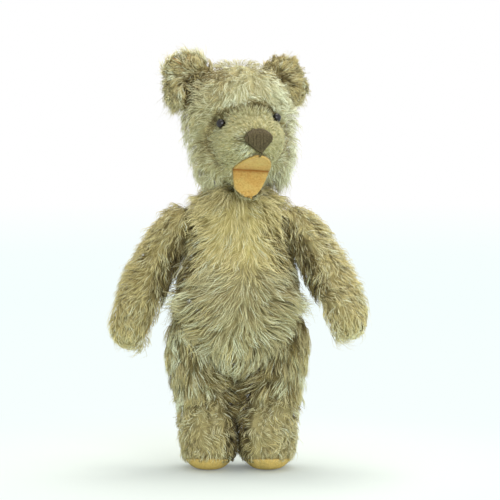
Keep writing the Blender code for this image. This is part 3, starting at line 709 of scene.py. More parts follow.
def torso_style(points, normals):
    """A cream bib over a grey-brown belly, combed out from a whorl in its middle and paler below."""
    x, _, z = points.T
    front = rises(-normals[:, 1], -0.1, 0.5)
    below = falls(z, 124, 144)
    fan = np.stack([(x - WHORL.x) / 15.0, 0 * x, -0.2 - (WHORL.z - z).clip(0, 60) / 40.0], 1)
    side = rises(np.abs(normals[:, 0]), 0.25, 0.75)
    hip = falls(np.abs(z - 106), 10, 20) * side
    left_sweep = rises(-x, 8, 24) * rises(z, 138, 152) * falls(z, 166, 176)
    bib = np.stack([(x - 3.0) / 26.0 - 1.4 * left_sweep, 0 * x, -np.ones_like(x)], 1)
    down = np.array([0.0, 0.0, -1.0])
    way = unit(bib) * (1 - below)[:, None] + unit(fan) * below[:, None]
    way = unit(way) * front[:, None] + down * (1 - front)[:, None]
    neck = rises(z, 168, 177) * side
    # the top under the head: fawn and taupe hair, partly their own colour and partly painted shade under the
    # jaw
    top = rises(z, 170, 178)
    way[:, 0] += (0.5 * hip + 0.25 * neck) * np.sign(x)
    chest = front * rises(z, 128, 144) * falls(np.abs(x - 1), 22, 33)
    collar = rises(z, 160, 174)
    # painted shade: dark hair down the torso's sides where the arms shade it
    armpit_shade = rises(np.abs(normals[:, 0]), 0.45, 0.85) * rises(z, 118, 134) * falls(z, 160, 172)
    low = front * falls(z, 76, 100)
    shoulder = side * rises(z, 154, 166)
    patch = rises(mottle(points, 12, 11), -0.2, 0.7)
    streak = rises(mottle(points * np.array([1, 1, 0.35]), 3.5, 12), 0.1, 0.8)
    silver = (0.25 * front + 0.35 * streak * (1 - chest)) * (1 - 0.7 * top)
    mix = {
        CREAM: 1.6 * chest,
        FAWN: (1.2 + 1.5 * rises(-x, 0, 15)) * collar + 0.6 * top + 0.25 * patch + 0.3 * chest,
        DARK: 2.6 * armpit_shade,
        TAUPE: (1 - chest) * (0.8 + 0.6 * patch) + 0.8 * top,
        GREIGE: (1 - chest) * (0.5 + 0.5 * streak) + 0.1,
        SILVER: 1.4 * low * streak + silver + 0.2 * chest * streak,
    }
    tone = 0.53 + 0.13 * mottle(points, 10, 1) - 0.12 * (1 - front) + 0.16 * chest + 0.14 * low - 0.05 * top
    return even(
        points,
        way,
        mix,
        length=13.0 - 3.0 * chest + 4.5 * low,
        rise=4.6 + 1.4 * low + 5.0 * hip + 2.0 * shoulder + 1.0 * neck + 1.5 * top,
        width=0.42 - 0.06 * chest,
        wave=0.6 + 0.3 * low,
        cling=1 - 0.4 * low - 0.6 * hip - 0.2 * neck,
        pull=0.15 + 0.4 * low + 0.25 * (1 - chest),
        alike=0.3 + 0.3 * low + 0.2 * (1 - chest),
        tone=tone,
        cover=(0.55 + 0.7 * front) * (1 + 0.3 * hip + 0.5 * neck + 0.6 * top),
    )


def arm_style(points, normals):
    """Fawn pile combed down the arm in net-like waves, paler at the paw, and darkened with painted shade on
    its inner side and in the armpit.
    """
    x, _, z = points.T
    paw = falls(z, 86, 104)
    # the inner side, towards the torso, gets dark hair and lower tone as painted shade under the arm
    inner = rises(-normals[:, 0] * np.sign(x), 0.1, 0.7)
    outer = rises(normals[:, 0] * np.sign(x), 0.1, 0.7) * rises(z, 112, 132)
    # the own-left front is paler: partly paler hair and partly painted light on the side the light comes
    # from
    pale_lit_side = rises(x, 0, 1) * rises(-normals[:, 1], -0.2, 0.4)
    way = np.stack([(0.4 + 0.2 * outer) * np.sign(x), -0.1 + 0 * x, -np.ones_like(x)], 1)
    streak = rises(mottle(points, 4.0, 13), 0.0, 0.8)
    mix = {
        FAWN: 1.0 - 0.4 * inner - 0.3 * pale_lit_side,
        GREIGE: 0.35 + 0.3 * streak + 0.3 * pale_lit_side,
        SILVER: 0.3 * streak + 0.3 * paw * streak + 0.4 * pale_lit_side * streak,
        TAUPE: 0.25 + 0.5 * inner,
        DARK: 5.0 * inner * rises(z, 112, 130),
    }
    tone = 0.53 + 0.13 * mottle(points, 9, 2) + 0.1 * paw - 0.15 * inner + 0.1 * pale_lit_side
    return even(
        points,
        way,
        mix,
        length=8.2,
        rise=3.4 - 0.6 * paw + 2.6 * outer + 3.2 * inner * paw - 1.4 * pale_lit_side * paw * (1 - inner),
        tangle=0.25,
        wave=0.9,
        tone=tone,
        swirl=0.8,
        pull=0.12,
        alike=0.4,
    )


# where the belly meets the legs: its height in the middle, and the roundness of its curve up at the sides
BELLY_LOW = 60.5
BELLY_ROUND = 41.0
# the rusty stains on the right hip: where each is, and how far it reaches each way
STAINS = (((-40, -21, 81), (3.5, 9.0, 3.0)), ((-36, -24, 68), (2.0, 9.0, 3.5)))


def leg_style(points, normals):
    """Long pale locks down the thigh, over shorter curly pile on the foot, with painted shade between the
    legs and under the belly.
    """
    x, _, z = points.T
    thigh = rises(z, 44, 58)
    top = rises(z, 90, 102)
    over = sole_height(points)
    sole = falls(over, 2, 9)
    # the inner sides, the crotch and the gap between the legs get dark hair and lower tone as painted shade,
    # where the legs shade each other
    inner = rises(-normals[:, 0] * np.sign(x), 0.3, 0.9)
    crotch = rises(-normals[:, 0] * np.sign(x), 0.0, 0.5) * rises(z, 32, 42) * falls(z, 66, 74)
    gap = falls(np.abs(x), 3.5, 8.0) * falls(z, 32, 42)
    inward = 0.12 + (0.5 + 0.4 * thigh) * crotch - 0.12 * gap
    way = np.stack([(0.4 * sole * (1 - gap) - inward) * np.sign(x), 0 * x, -np.ones_like(x)], 1)
    rim = BELLY_LOW + x * x / BELLY_ROUND
    # painted shadow: a dark band on the thigh just under the belly's edge
    belly_edge_shade = falls(np.abs(z - rim + 2.0), 2.5, 6.5) * rises(-normals[:, 1], -0.2, 0.3)
    streak = rises(mottle(points * np.array([1, 1, 0.4]), 3.5, 14), 0.0, 0.8)
    under = rises(mottle(points * np.array([1, 1, 0.5]), 5.0, 16), -0.1, 0.6) * thigh
    hip = rises(z, 66, 80)
    own_left = rises(x, -1, 1)
    stain = [np.linalg.norm((points - np.array(place)) / np.array(size), axis=1) for place, size in STAINS]
    mix = {
        GREIGE: 0.6 + 0.3 * (1 - thigh) + 0.4 * own_left * (1 - thigh),
        TAUPE: 0.9 + 0.5 * inner + 0.8 * own_left * hip,
        FAWN: 0.6 * (1 - thigh) + 0.3,
        SILVER: 0.9 * thigh * streak * (1 - 0.6 * own_left * hip) + 0.25 + 0.5 * (1 - own_left) * hip,
        DARK: 0.3 * sole
        + (0.7 + 0.5 * own_left * hip) * under
        # painted shade: a darker band where the thigh's locks end over the foot
        + 0.5 * falls(np.abs(z - 46), 2, 6)
        + 0.4 * inner
        + 1.6 * belly_edge_shade
        + 4.0 * rises(inner, 0.7, 1.0) * (1 - hip)
        + 12.0 * gap
        + (1.5 + 3.0 * (1 - thigh)) * crotch,
        STAIN: 6.0 * falls(np.min(stain, 0), 0.5, 1.2),
    }
    return even(
        points,
        way,
        mix,
        length=6.5 + 8.0 * thigh - 2.2 * sole - 2.0 * gap + 1.5 * crotch * (1 - thigh),
        rise=4.0 + 0.9 * thigh - 2.2 * sole - 1.8 * top + 2.0 * crotch - 0.8 * gap * (1 - sole),
        width=0.4 + 0.03 * thigh,
        tangle=0.6 - 0.38 * thigh - 0.35 * gap,
        wave=0.8 - 0.4 * gap,
        cling=1 - 0.25 * thigh - 0.5 * crotch,
        pull=0.2 + 0.42 * thigh,
        alike=0.4 + 0.4 * thigh,
        tone=0.53 + 0.16 * mottle(points, 8, 4) - 0.05 * sole + 0.12 * (1 - thigh) - 0.1 * inner - 0.6 * gap,
        swirl=0.9 - 0.55 * thigh,
        cover=1.0 * (over > 0.4),
        spread=0.19,
    )


SOLE_RIM = Vector((19.5, 2.6, 5.6))
SOLE_LEAN = math.radians(8.0)


def sole_height(points):
    """How far points lie above the plane of the seam between the pile and the sole."""
    behind, above = points[..., 1] - SOLE_RIM.y, points[..., 2] - SOLE_RIM.z
    return above * math.cos(SOLE_LEAN) + behind * math.sin(SOLE_LEAN)


def past_sole(points):
    """Whether points hang over the sole, further than the pile does in front."""
    ragged = 0.5 + 0.5 * np.sin(0.9 * points[..., 0]) * np.sin(1.1 * points[..., 1] + 0.7 * points[..., 0])
    return sole_height(points) < -1.2 - 2.8 * ragged


HEAD_TURN = np.array(HEAD_FRAME.to_3x3())
HEAD_PLACE = np.array(HEAD_FRAME.translation) / MM
EYES = {"left": Vector((18.6, -31.4, 0.5)), "right": Vector((-19.2, -30.9, -1.1))}
EYE_RADIUS = 3.0
EARS = {"left": Vector((27.0, 2.0, 18.5)), "right": Vector((-26.5, 2.0, 21.0))}
NOSE = Vector((0.7, -50.0, -12.9))
NOSE_HALF = (9.2, 7.7)
MASK = Vector((-0.5, 0.0, -14.0))
MASK_HALF = (22.0, 21.0)


def from_head(ways):
    """Directions in the head's own frame, turned to the bear's."""
    return ways @ HEAD_TURN.T


def head_points(points):
    """Points in the head's own frame, all in millimetres."""
    return (points - HEAD_PLACE) @ HEAD_TURN


EAR_FOLDS = {
    "right": ((-12.7, 30.5), (-22, 27), (-30, 24), (-33, 16.5), (-37, 5.5)),
    "left": ((15, 31), (21, 26), (27, 23)),
}


def fold_distance(side, points):
    """How far points lie from the line of the fold in an ear's hollow, seen from in front."""
    x, _, z = head_points(points).T
    line = np.array(EAR_FOLDS[side])
    nearest = np.full(len(x), np.inf)
    for start, end in zip(line, line[1:]):
        run = end - start
        share = ((x - start[0]) * run[0] + (z - start[1]) * run[1]) / (run @ run)
        there = start + run * np.clip(share, 0, 1)[:, None]
        nearest = np.minimum(nearest, np.hypot(x - there[:, 0], z - there[:, 1]))
    return nearest


def over_eyes(here, near, far):
    """1 round the top of each eye, falling to 0 between these distances from it."""
    tops = [np.array(eye + Vector((0, 0, 2.8))) for eye in EYES.values()]
    return falls(np.min([np.linalg.norm(here - top, axis=1) for top in tops], 0), near, far)


def mask_ring(here):
    """How far out from the middle of the clipped face points lie, with 1 at its edge."""
    return np.hypot((here[:, 0] - MASK.x) / MASK_HALF[0], (here[:, 2] - MASK.z) / MASK_HALF[1])


def head_style(points, normals):
    """Silvery locks falling from the crown, greige cheeks with brown patches, painted shade behind the ears
    and under the jaw, and a brow of brown hair deepened with painted shade.
    """
    here = head_points(points)
    x, y, z = here.T
    face = rises(-y, 2.0, 16.0)
    ring = mask_ring(here)
    # brow: brown hair where the forehead's pile overhangs the muzzle, partly its colour and partly painted
    # shade
    brow = face * falls(np.abs(ring - 1.08), 0.07, 0.15)
    brow = brow * (0.35 + 0.65 * rises(z, -6, 2)) * rises(z, -34, -22)
    forehead = face * rises(z, 4, 11) * falls(np.abs(x - 1), 14, 26)
    one, none = np.ones_like(x), np.zeros_like(x)
    fall = np.stack([x / 30.0 + 0.5 * mottle(points, 14, 7), -0.4 * one, -one], 1)
    cheek = np.stack([x / 22.0, 0.7 * one, -0.9 * one], 1)
    up = np.stack([x / 30.0, -0.2 * one, one], 1)
    back = np.stack([none, 0.3 * one, -one], 1)
    way = fall * forehead[:, None] + cheek * (1 - forehead)[:, None]
    way = way * face[:, None] + back * (1 - face)[:, None]
    way = way * (1 - brow)[:, None] + up * brow[:, None]
    patch = rises(mottle(points, 8, 5), -0.1, 0.6) * face
    # the own-left side of the face is paler: partly paler hair and partly painted light on the side the
    # light comes from
    pale_lit_side = rises(x, 8, 20) * face
    tuft = face * falls(np.hypot((x + 5) / 9, (z - 12) / 6), 0.7, 1.3)
    # behind each ear and along the fold of its hollow, the head's pile is darkened as painted shade
    behind = [np.linalg.norm(here - np.array(ear), axis=1) for ear in EARS.values()]
    fold = np.min([fold_distance(side, points) for side in EAR_FOLDS], 0)
    ear_crook_shade = np.maximum(falls(np.min(behind, 0), 9, 17), falls(fold, 2, 6))
    ear_crook_shade = ear_crook_shade * rises(-y, -6, 4)
    lid = over_eyes(here, 4.2, 7.6)
    nap = rises(np.abs(x), 15, 21) * falls(z, 2, 10) * face
    jaw = falls(np.linalg.norm(here - np.array(JAW), axis=1), 14, 20)
    jowl = rises(np.abs(x), 13, 24) * falls(z, -36, -22) * np.where(x > 0, 1.0, 0.6)
    # under the jaw: dark hair as painted shadow
    under = falls(z, -45, -39) * falls(np.abs(x + 2), 12, 18) * rises(-y, 8, 14)
    chin = falls(z, -44, -35) * falls(np.abs(x - 11), 8, 13)
    cheekbone = rises(np.abs(x), 22, 32) * falls(np.abs(z + 8), 10, 20)
    cheekbone = cheekbone * np.where(x > 0, 1.0, 0.4)
    mix = {
        ASH: 1.1 - 0.5 * patch,
        GREIGE: 0.3 * (1 - pale_lit_side),
        SILVER: 0.15 + 0.5 * forehead + 0.9 * pale_lit_side + 3.0 * tuft,
        TAUPE: 0.1 + 1.1 * patch * (1 - 0.9 * pale_lit_side) + 1.5 * ear_crook_shade + 3.5 * brow,
        FAWN: (0.5 * patch + 0.1 * face) * (1 - pale_lit_side),
        DARK: 8.0 * brow + 14.0 * lid + 0.05 * patch + 2.0 * ear_crook_shade + 2.0 * under,
    }
    tone = 0.55 + 0.12 * mottle(points, 7, 3) + 0.03 * forehead + 0.25 * pale_lit_side + 0.3 * tuft
    lips = near_felt(points)
    way = unit(way)
    way[:, 0] = way[:, 0] * (1 - jowl) + 0.08 * np.sign(x) * jowl
    way[:, 2] -= 1.5 * jowl + 0.8 * chin
    gone = falls(ring, 0.96, 1.02) * rises(-y, 18, 22) * rises(z, -44, -38)
    edge = falls(ring, 1.1, 1.5) * (1 - brow) * face
    room = 1.5 + np.where((face > 0.3) & (z > -8) & (brow < 0.5), (ring - 1.15).clip(0) * 16.0, 30.0)
    length = 7.5 + forehead - 4 * brow - 2.4 * lid + 4.6 * jowl - 4 * lips - 3 * ear_crook_shade + 2 * chin
    rise = 4.8 - 2.4 * brow - 1.2 * edge - 2.4 * lid + 1.6 * jowl + 1.2 * chin + 2.0 * cheekbone
    crowd = 1 + 0.8 * brow + 0.5 * jaw + 0.4 * jowl + 0.3 * pale_lit_side + 1.5 * chin
    return even(
        points,
        from_head(way),
        mix,
        length=np.minimum(room, length),
        rise=rise * (1 - 0.7 * lips),
        width=0.33 - 0.04 * brow - 0.03 * nap,
        tangle=0.35 + 0.3 * nap,
        cling=1 - 0.65 * jowl * (1 - lips) - 0.3 * chin * (1 - jowl) - 0.3 * cheekbone,
        tone=tone - 0.35 * lid - 0.1 * brow + 0.08 * nap,
        swirl=0.9,
        pull=0.3 - 0.2 * nap,
        alike=0.4 - 0.2 * nap,
        cover=(1 - gone) * (0.6 + 0.6 * face) * crowd,
        spread=0.13,
    )


def muzzle_style(points, normals):
    """Straw-coloured pile clipped short, standing out all round the nose."""
    here = head_points(points)
    x, y, z = here.T
    ring = mask_ring(here)
    inside = falls(ring, 0.98, 1.06) * rises(-y, 17, 21) * rises(z, -44, -38)
    away = here - np.array(NOSE)
    away[:, 1] += 4.0
    distance = np.linalg.norm(away, axis=1)
    lip = falls(z, -26, -19)
    away = unit(away)
    away[:, 0] += 0.9 * lip * np.sign(x - 1.5)
    away[:, 2] += 0.5 * lip
    lid = over_eyes(here, 3.0, 5.5)
    beard = falls(distance, 10, 18) * rises(-x, 0, 6) * falls(z, -12, -6)
    mix = {
        STRAW: 1.3 - 0.7 * beard - 0.9 * lid,
        CREAM: 0.15 + 0 * x,
        SILVER: 0.1 + 1.6 * beard,
        DARK: 0.15 * falls(z, -22, -17) + 0.6 * beard + 6.0 * lid,
    }
    return even(
        points,
        from_head(away),
        mix,
        length=3.0 + 2.2 * beard,
        rise=2.3 * (1 - 0.4 * near_felt(points)),
        width=0.27 + 0.1 * beard,
        tangle=0.25,
        wave=0.1,
        tone=0.45 + 0.08 * mottle(points, 6, 6) + 0.12 * rises(z, -8, 4) - 0.35 * lid,
        swirl=0.3,
        cover=inside,
        spread=0.08 + 0.1 * beard,
        loose=0.05,
        pull=0.2 + 0.3 * beard,
    )


PAD_BARE = (8.5, 12.5)


def over_pad(part):
    """A test for points over a paw's felt pad."""
    centre, across, along, facing = (np.array(way) for way in pad_frames[part])

    def test(points):
        off = points - centre / MM
        near = ((off @ across) / PAD_BARE[0]) ** 2 + ((off @ along) / PAD_BARE[1]) ** 2 < 1
        return near & (off @ facing > -4)

    return test


def face_style(points, normals):
    """The head's and the muzzle's pile together, for the cloth under both."""
    head, muzzle = head_style(points, normals), muzzle_style(points, normals)
    share = muzzle["cover"]
    mix = {family: (1 - share) * part for family, part in head["mix"].items()}
    for family, part in muzzle["mix"].items():
        mix[family] = mix.get(family, 0) + share * part
    return {"mix": mix, "tone": head["tone"] * (1 - share) + muzzle["tone"] * share}


def ear_style_for(side):
    """The style of one ear's pile, which is shaggier on the right."""
    low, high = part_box(f"{side}_ear")
    base = np.array(HEAD_FRAME @ (EARS[side] * MM)) / MM
    outwards = unit(base - np.array(CROWN) / MM)
    facing = HEAD_TURN @ np.array([0, -1, 0.2])
    shaggy = 1.0 if side == "right" else 0.6

    def ear_style(points, normals):
        """Matted olive-brown pile in the hollow of the ear, darkened with painted shade along its fold, with
        long pale wisps at its rim.
        """
        away = points - (base - outwards * 6.0)
        up = (points - base) @ outwards
        turned = normals @ facing
        level = (points[:, 2] - low.z / MM) * MM / (high.z - low.z)
        side_on = rises(np.abs(points[:, 0] - base[0]), 4, 14)
        lobe = falls(level, 0.4, 0.75) * side_on * shaggy
        crest = rises(level, 0.6, 0.95)
        rim = rises(1 - np.abs(turned), 0.25, 0.8) * rises(up, 2, 10)
        # the hollow, and most of all along its fold, gets dark hair and lower tone as painted shade
        hollow = rises(turned, 0.2, 0.8)
        deep = hollow * falls(fold_distance(side, points), 1.5, 6.0)
        streak = rises(mottle(points, 4, 15), 0.0, 0.7)
        edge = (rim + 0.5 * side_on * rises(up, 16, 28)).clip(0, 1)
        tone = 0.3 + 0.22 * shaggy + 0.2 * mottle(points, 7, 8) + 0.32 * edge * shaggy
        mix = {
            DARK: 0.1 * hollow + 8.0 * deep,
            TAUPE: 0.5 + 0.3 * hollow - 0.4 * edge,
            GREIGE: 0.8 * edge + 0.5,
            FAWN: 0.4 + 0.5 * crest,
            STAIN: 0.12 * crest * streak,
            SILVER: (0.9 * edge + 0.8 * streak) * (1.5 * shaggy - 0.5) * (1 - deep),
        }
        hang = np.array([0.7 * np.sign(base[0]), -0.3, -2.4])
        way = unit(away) * (1 - 0.4 * rim[:, None]) + np.array([0, 0, 1.0]) * (1.2 * rim * crest)[:, None]
        flow = np.array([0.45 * np.sign(base[0]), 0, -0.9])
        way += hang * lobe[:, None] + flow * (hollow * (1 - 0.6 * crest))[:, None]
        return even(
            points,
            way,
            mix,
            length=7.5 - 3.5 * deep + (1.5 * rim * crest + 8.0 * lobe) * shaggy,
            rise=3.2 + 1.8 * rim * (1 - 0.4 * crest) + 1.5 * lobe - 1.5 * deep,
            tangle=0.42 - 0.25 * lobe,
            wave=0.9,
            cling=0.85 - 0.4 * rim - 0.3 * lobe,
            tone=tone - 0.08 * hollow - 0.4 * deep,
            swirl=1.1,
            cover=0.6 + 1.6 * rim + 2.0 * lobe,
            spread=0.2,
            loose=0.12,
            pull=0.4,
            alike=0.6,
        )

    return ear_style


def in_eyes(points):
    """Whether points lie in an eye or in front of it. A few hairs may hang over its top."""
    here = head_points(points)
    covered = []
    for eye in EYES.values():
        off = here - np.array(eye)
        reach = np.linalg.norm(off, axis=-1)
        covered.append((reach < EYE_RADIUS + 0.1) | ((reach < EYE_RADIUS + 1.0) & (off[..., 2] < 1.0)))
    return np.any(covered, 0)


def in_nose(points):
    """Whether points lie in the nose's stitches or in front of them."""
    x, y, z = np.moveaxis(head_points(points), -1, 0)
    low, high = nose_edges((x - NOSE.x) / (NOSE_HALF[0] - 1.6))
    return (y < -38) & (z > low + 1.7) & (z < high - 1.4)


def nose_edges(across):
    """The heights of the nose's lower and upper edge, from -1 at its one side to 1 at the other."""
    across = np.clip(across, -1, 1)
    upper = NOSE.z + NOSE_HALF[1] - 5.5 * np.abs(across) ** 2.6
    tip = np.abs(across - 0.15) / (1 - 0.15 * np.sign(across - 0.15))
    lower = NOSE.z - NOSE_HALF[1] - 1.0 + 8.2 * tip**1.15
    return np.minimum(lower, upper), upper


def felt_spots(points):
    """For each lobe of felt, how far beside it, along it and above it points lie, and its own depth."""
    off = head_points(points) - np.array(CREASE)
    side = off @ np.array(CREASE_RUN)
    for tip, ends, narrows, _, under in FELT_LOBES:
        ahead, outwards = lobe_frame(tip)
        share = off @ np.array(ahead) / ahead.length_squared
        right, left = (lobe_half(share, *form) for form in zip(MOUTH_HALVES, ends, narrows))
        beside = np.abs(side) - np.where(side > 0, left, right)
        yield beside, share, off @ np.array(outwards), under


def over_felt(points):
    """Whether points lie over the felt of the mouth, where no pile grows."""
    covered = [
        (beside < -0.9) & (share > -0.1) & (share < 1.0) & (height > -under) & (height < 12)
        for beside, share, height, under in felt_spots(points)
    ]
    return np.any(covered, 0)


def near_felt(points):
    """1 along the edge of the mouth's felt, falling to 0 some millimetres away."""
    close = [
        falls(beside, 2, 7) * falls(share, 1.15, 1.4) * falls(np.abs(height), 7, 11)
        for beside, share, height, _ in felt_spots(points)
    ]
    return np.max(close, 0)


face_clear = (in_eyes, in_nose, over_felt)
grow("torso_pile", "torso", 11000, 3, torso_style, 1, clump=14)
grow("head_pile", "head", 15500, 2, head_style, 2, face_clear)
grow("muzzle_pile", "head", 11000, 1, muzzle_style, 3, face_clear, 4)
dye_cloth("torso", torso_style)
dye_cloth("head", face_style)
for k, side in enumerate(("left", "right")):
    grow(f"{side}_arm_pile", f"{side}_arm", 6300, 2, arm_style, 10 + k, (over_pad(f"{side}_arm"),))
    grow(f"{side}_leg_pile", f"{side}_leg", 7700, 2, leg_style, 20 + k, (past_sole,), 14)
    ear_style = ear_style_for(side)
    grow(f"{side}_ear_pile", f"{side}_ear", 4800, 2, ear_style, 30 + k, face_clear, 12)
    for part, style in (("arm", arm_style), ("leg", leg_style), ("ear", ear_style)):
        dye_cloth(f"{side}_{part}", style)

# The mouth. One piece of orange felt is folded at the back of the open mouth, the palate above the
# tongue, and sewn in along its edge. It is pale with age and rough, and painted darker in the fold as shade.

# pressed wool: matt and fuzzy, with fibres about 1 mm wide, as coarse as they need to be to show, and
# faded in patches 6 mm wide
felt_finish, tree, shader = principled(
    "wool_felt",
    {"Roughness": 0.95, "Specular IOR Level": 0.2, "Sheen Weight": 0.1, "Sheen Roughness": 0.6},
)
place = add(tree, "ShaderNodeTexCoord").outputs["Object"]
inputs = {"Vector": place, "Scale": 0.9 / MM, "Detail": 4.0, "Distortion": 0.6}
fibre = add(tree, "ShaderNodeTexNoise", None, inputs).outputs["Fac"]
fade = add(tree, "ShaderNodeTexNoise", None, {"Vector": place, "Scale": 0.16 / MM, "Detail": 3.0})
fine = add(tree, "ShaderNodeValToRGB", None, {"Fac": fibre}, ((0.3, "977834"), (0.7, "d9be74")))
stops = ((0.35, "bb8c44"), (0.7, "c0a660"))
worn = add(tree, "ShaderNodeValToRGB", None, {"Fac": fade.outputs["Fac"]}, stops)
inputs = {0: 0.5, 6: fine.outputs["Color"], 7: worn.outputs["Color"]}
both = add(tree, "ShaderNodeMix", {"data_type": "RGBA"}, inputs)
# painted shade: the felt turns dark brown towards the fold, where its two lobes shade each other
fold = add(tree, "ShaderNodeAttribute", {"attribute_name": "fold"})
inputs = {0: fold.outputs["Fac"], 6: both.outputs[2], 7: linear("87541c")}
deep = add(tree, "ShaderNodeMix", {"data_type": "RGBA"}, inputs)
bump = add(tree, "ShaderNodeBump", None, {"Strength": 0.9, "Distance": 0.9 * MM, "Height": fibre})
tree.links.new(deep.outputs[2], shader.inputs["Base Color"])
tree.links.new(bump.outputs["Normal"], shader.inputs["Normal"])

FELT = 1.5


def mapped_grid(bm, columns, rows, place):
    """Adds a grid to bm whose corners, from (-1, -1) to (1, 1), are put where place says."""
    made = bmesh.ops.create_grid(bm, x_segments=columns, y_segments=rows, size=1.0)["verts"]
    for vert in made:
        vert.co = place(vert.co.x, vert.co.y)
    return made


def into_head(bm):
    """Moves a shape made in the head's own frame, in millimetres, to its place on the bear."""
    bmesh.ops.scale(bm, vec=(MM, MM, MM), verts=bm.verts)
    bmesh.ops.transform(bm, matrix=HEAD_FRAME, verts=bm.verts)


def thicken(bm, thickness):
    """Gives a sheet its thickness."""
    bmesh.ops.solidify(bm, geom=bm.faces[:], thickness=thickness)
    bmesh.ops.recalc_face_normals(bm, faces=bm.faces)


def felt_lobe(bm, tip, ends, narrows, dome):
    """One half of the mouth's felt, from the fold at its back to its tip."""
    ahead, outwards = lobe_frame(tip)

    def place(u, v):
        share = 0.995 * math.sin(0.25 * math.pi * (v + 1))
        half = float(lobe_half(share, MOUTH_HALVES[u > 0], ends[u > 0], narrows[u > 0]))
        lift = dome * (1 - u * u) * math.sin(math.pi * share)
        lift += 0.3 * noise.noise(Vector((u * 3, v * 3, dome))) * min(1, 5 * share)
        return CREASE + ahead * share + CREASE_RUN * (half * u) + outwards * lift

    mapped_grid(bm, 20, 22, place)


bm = bmesh.new()
for tip, ends, narrows, dome, _ in FELT_LOBES:
    felt_lobe(bm, tip, ends, narrows, dome)
bmesh.ops.remove_doubles(bm, verts=bm.verts, dist=0.05)
bmesh.ops.recalc_face_normals(bm, faces=bm.faces)
if sum(face.normal.y * face.calc_area() for face in bm.faces) > 0:
    bmesh.ops.reverse_faces(bm, faces=bm.faces)
thicken(bm, FELT)
into_head(bm)
lining = make("mouth_lining", bm, "head", felt_finish, ["mouth_felt"], "felt").data
# the fold attribute is painted shade, strongest at the fold and gone 3 mm from it
point, run = HEAD_FRAME @ (CREASE * MM), HEAD_FRAME.to_3x3() @ CREASE_RUN
away = [(vert.co - point).cross(run).length / (3.0 * MM) for vert in lining.vertices]
fold_shading = [max(0, 1 - distance) ** 1.6 for distance in away]
lining.attributes.new("fold", "FLOAT", "POINT").data.foreach_set("value", fold_shading)

# The nose. Brown floss is stitched over a small pad in upright rows, side by side and pulled tight, with
# one long stitch down to the lip.

# cotton floss: a dull gleam, and strands a little over half a millimetre wide
floss, tree, shader = principled("brown_floss", {"Roughness": 0.7, "Specular IOR Level": 0.3})
place = add(tree, "ShaderNodeTexCoord").outputs["Object"]
spun = add(tree, "ShaderNodeTexNoise", None, {"Vector": place, "Scale": 1.5 / MM, "Detail": 3.0})
strand = spun.outputs["Fac"]
brown = add(tree, "ShaderNodeValToRGB", None, {"Fac": strand}, ((0.3, "2e2512"), (0.7, "62573a")))
bump = add(tree, "ShaderNodeBump", None, {"Strength": 0.5, "Distance": 0.3 * MM, "Height": strand})
tree.links.new(brown.outputs["Color"], shader.inputs["Base Color"])
tree.links.new(bump.outputs["Normal"], shader.inputs["Normal"])

STITCHES = 19
THREAD = 0.66
PAD_BACK = -42.0
PAD_INSETS = (0.5, -0.6)


def nose_front(x, z):
    """The front of the nose's pad."""
    over = ((x - NOSE.x) / 11.5) ** 2 + ((z - NOSE.z) / 11.0) ** 2
    return -49.4 - 4.6 * math.sqrt(max(0.05, 1 - over))


def thread(bm, start, end, radius, bend):
    """A tube of thread from start to end, laid over the pad and sunk in at both ends."""

    def place(u, v):
        share = 0.5 + 0.5 * v
        middle = start.lerp(end, share)
        middle.y = nose_front(middle.x, middle.z) + 3.5 * abs(v) ** 6
        middle.x += bend * math.sin(math.pi * share)
        turn = math.pi * (u + 1)
        return middle + Vector((math.cos(turn), 0.8 * math.sin(turn), 0)) * radius

    mapped_grid(bm, 6, 10, place)


bm = bmesh.new()
for vert in bmesh.ops.create_uvsphere(bm, u_segments=24, v_segments=16, radius=1.0)["verts"]:
    low, high = (edge + inset for edge, inset in zip(nose_edges(vert.co.x * 0.97), PAD_INSETS))
    upright = vert.co.z / math.sqrt(max(1e-6, 1 - vert.co.x**2))
    x = NOSE.x + vert.co.x * (NOSE_HALF[0] - 0.9)
    z = low + max(0.0, high - low) * (0.5 + 0.5 * max(-1.0, min(1.0, upright)))
    vert.co = Vector((x, nose_front(x, z) + 0.5 if vert.co.y < 0.1 else PAD_BACK, z))
for i in range(STITCHES):
    across = -1 + 2 * i / (STITCHES - 1)
    low, high = nose_edges(across * 0.95)
    x = NOSE.x + across * NOSE_HALF[0] * 0.95
    wander = noise.noise(Vector((i * 1.7, 0, 0)))
    top, bottom = Vector((x, 0, high + 0.4 * wander)), Vector((x + 0.5 * wander, 0, low - 0.4 * wander))
    thread(bm, top, bottom, THREAD * (1 + 0.15 * wander), 0.3 * wander)
thread(bm, Vector((2.3, 0, -20.4)), Vector((0.6, 0, -24.6)), 0.5, 0.1)
bmesh.ops.remove_doubles(bm, verts=bm.verts, dist=0.01)
bmesh.ops.recalc_face_normals(bm, faces=bm.faces)
into_head(bm)
make("nose_floss", bm, "head", floss, ["nose_stitching"], "thread")

# The eyes. Each is a half ball of dark glass, blown round a wire loop. The loop is pushed through the
# cloth and tied down inside the head, which draws the eye into the pile.

# glass that is nearly black: a clear gloss over a faint brown haze
glass, tree, shader = principled("dark_glass", {"Roughness": 0.1, "Specular IOR Level": 0.5})
place = add(tree, "ShaderNodeTexCoord").outputs["Object"]
haze = add(tree, "ShaderNodeTexNoise", None, {"Vector": place, "Scale": 0.26 / MM, "Detail": 2.0})
stops = ((0.0, "0b0908"), (1.0, "1a1714"))
black = add(tree, "ShaderNodeValToRGB", None, {"Fac": haze.outputs["Fac"]}, stops)
tree.links.new(black.outputs["Color"], shader.inputs["Base Color"])

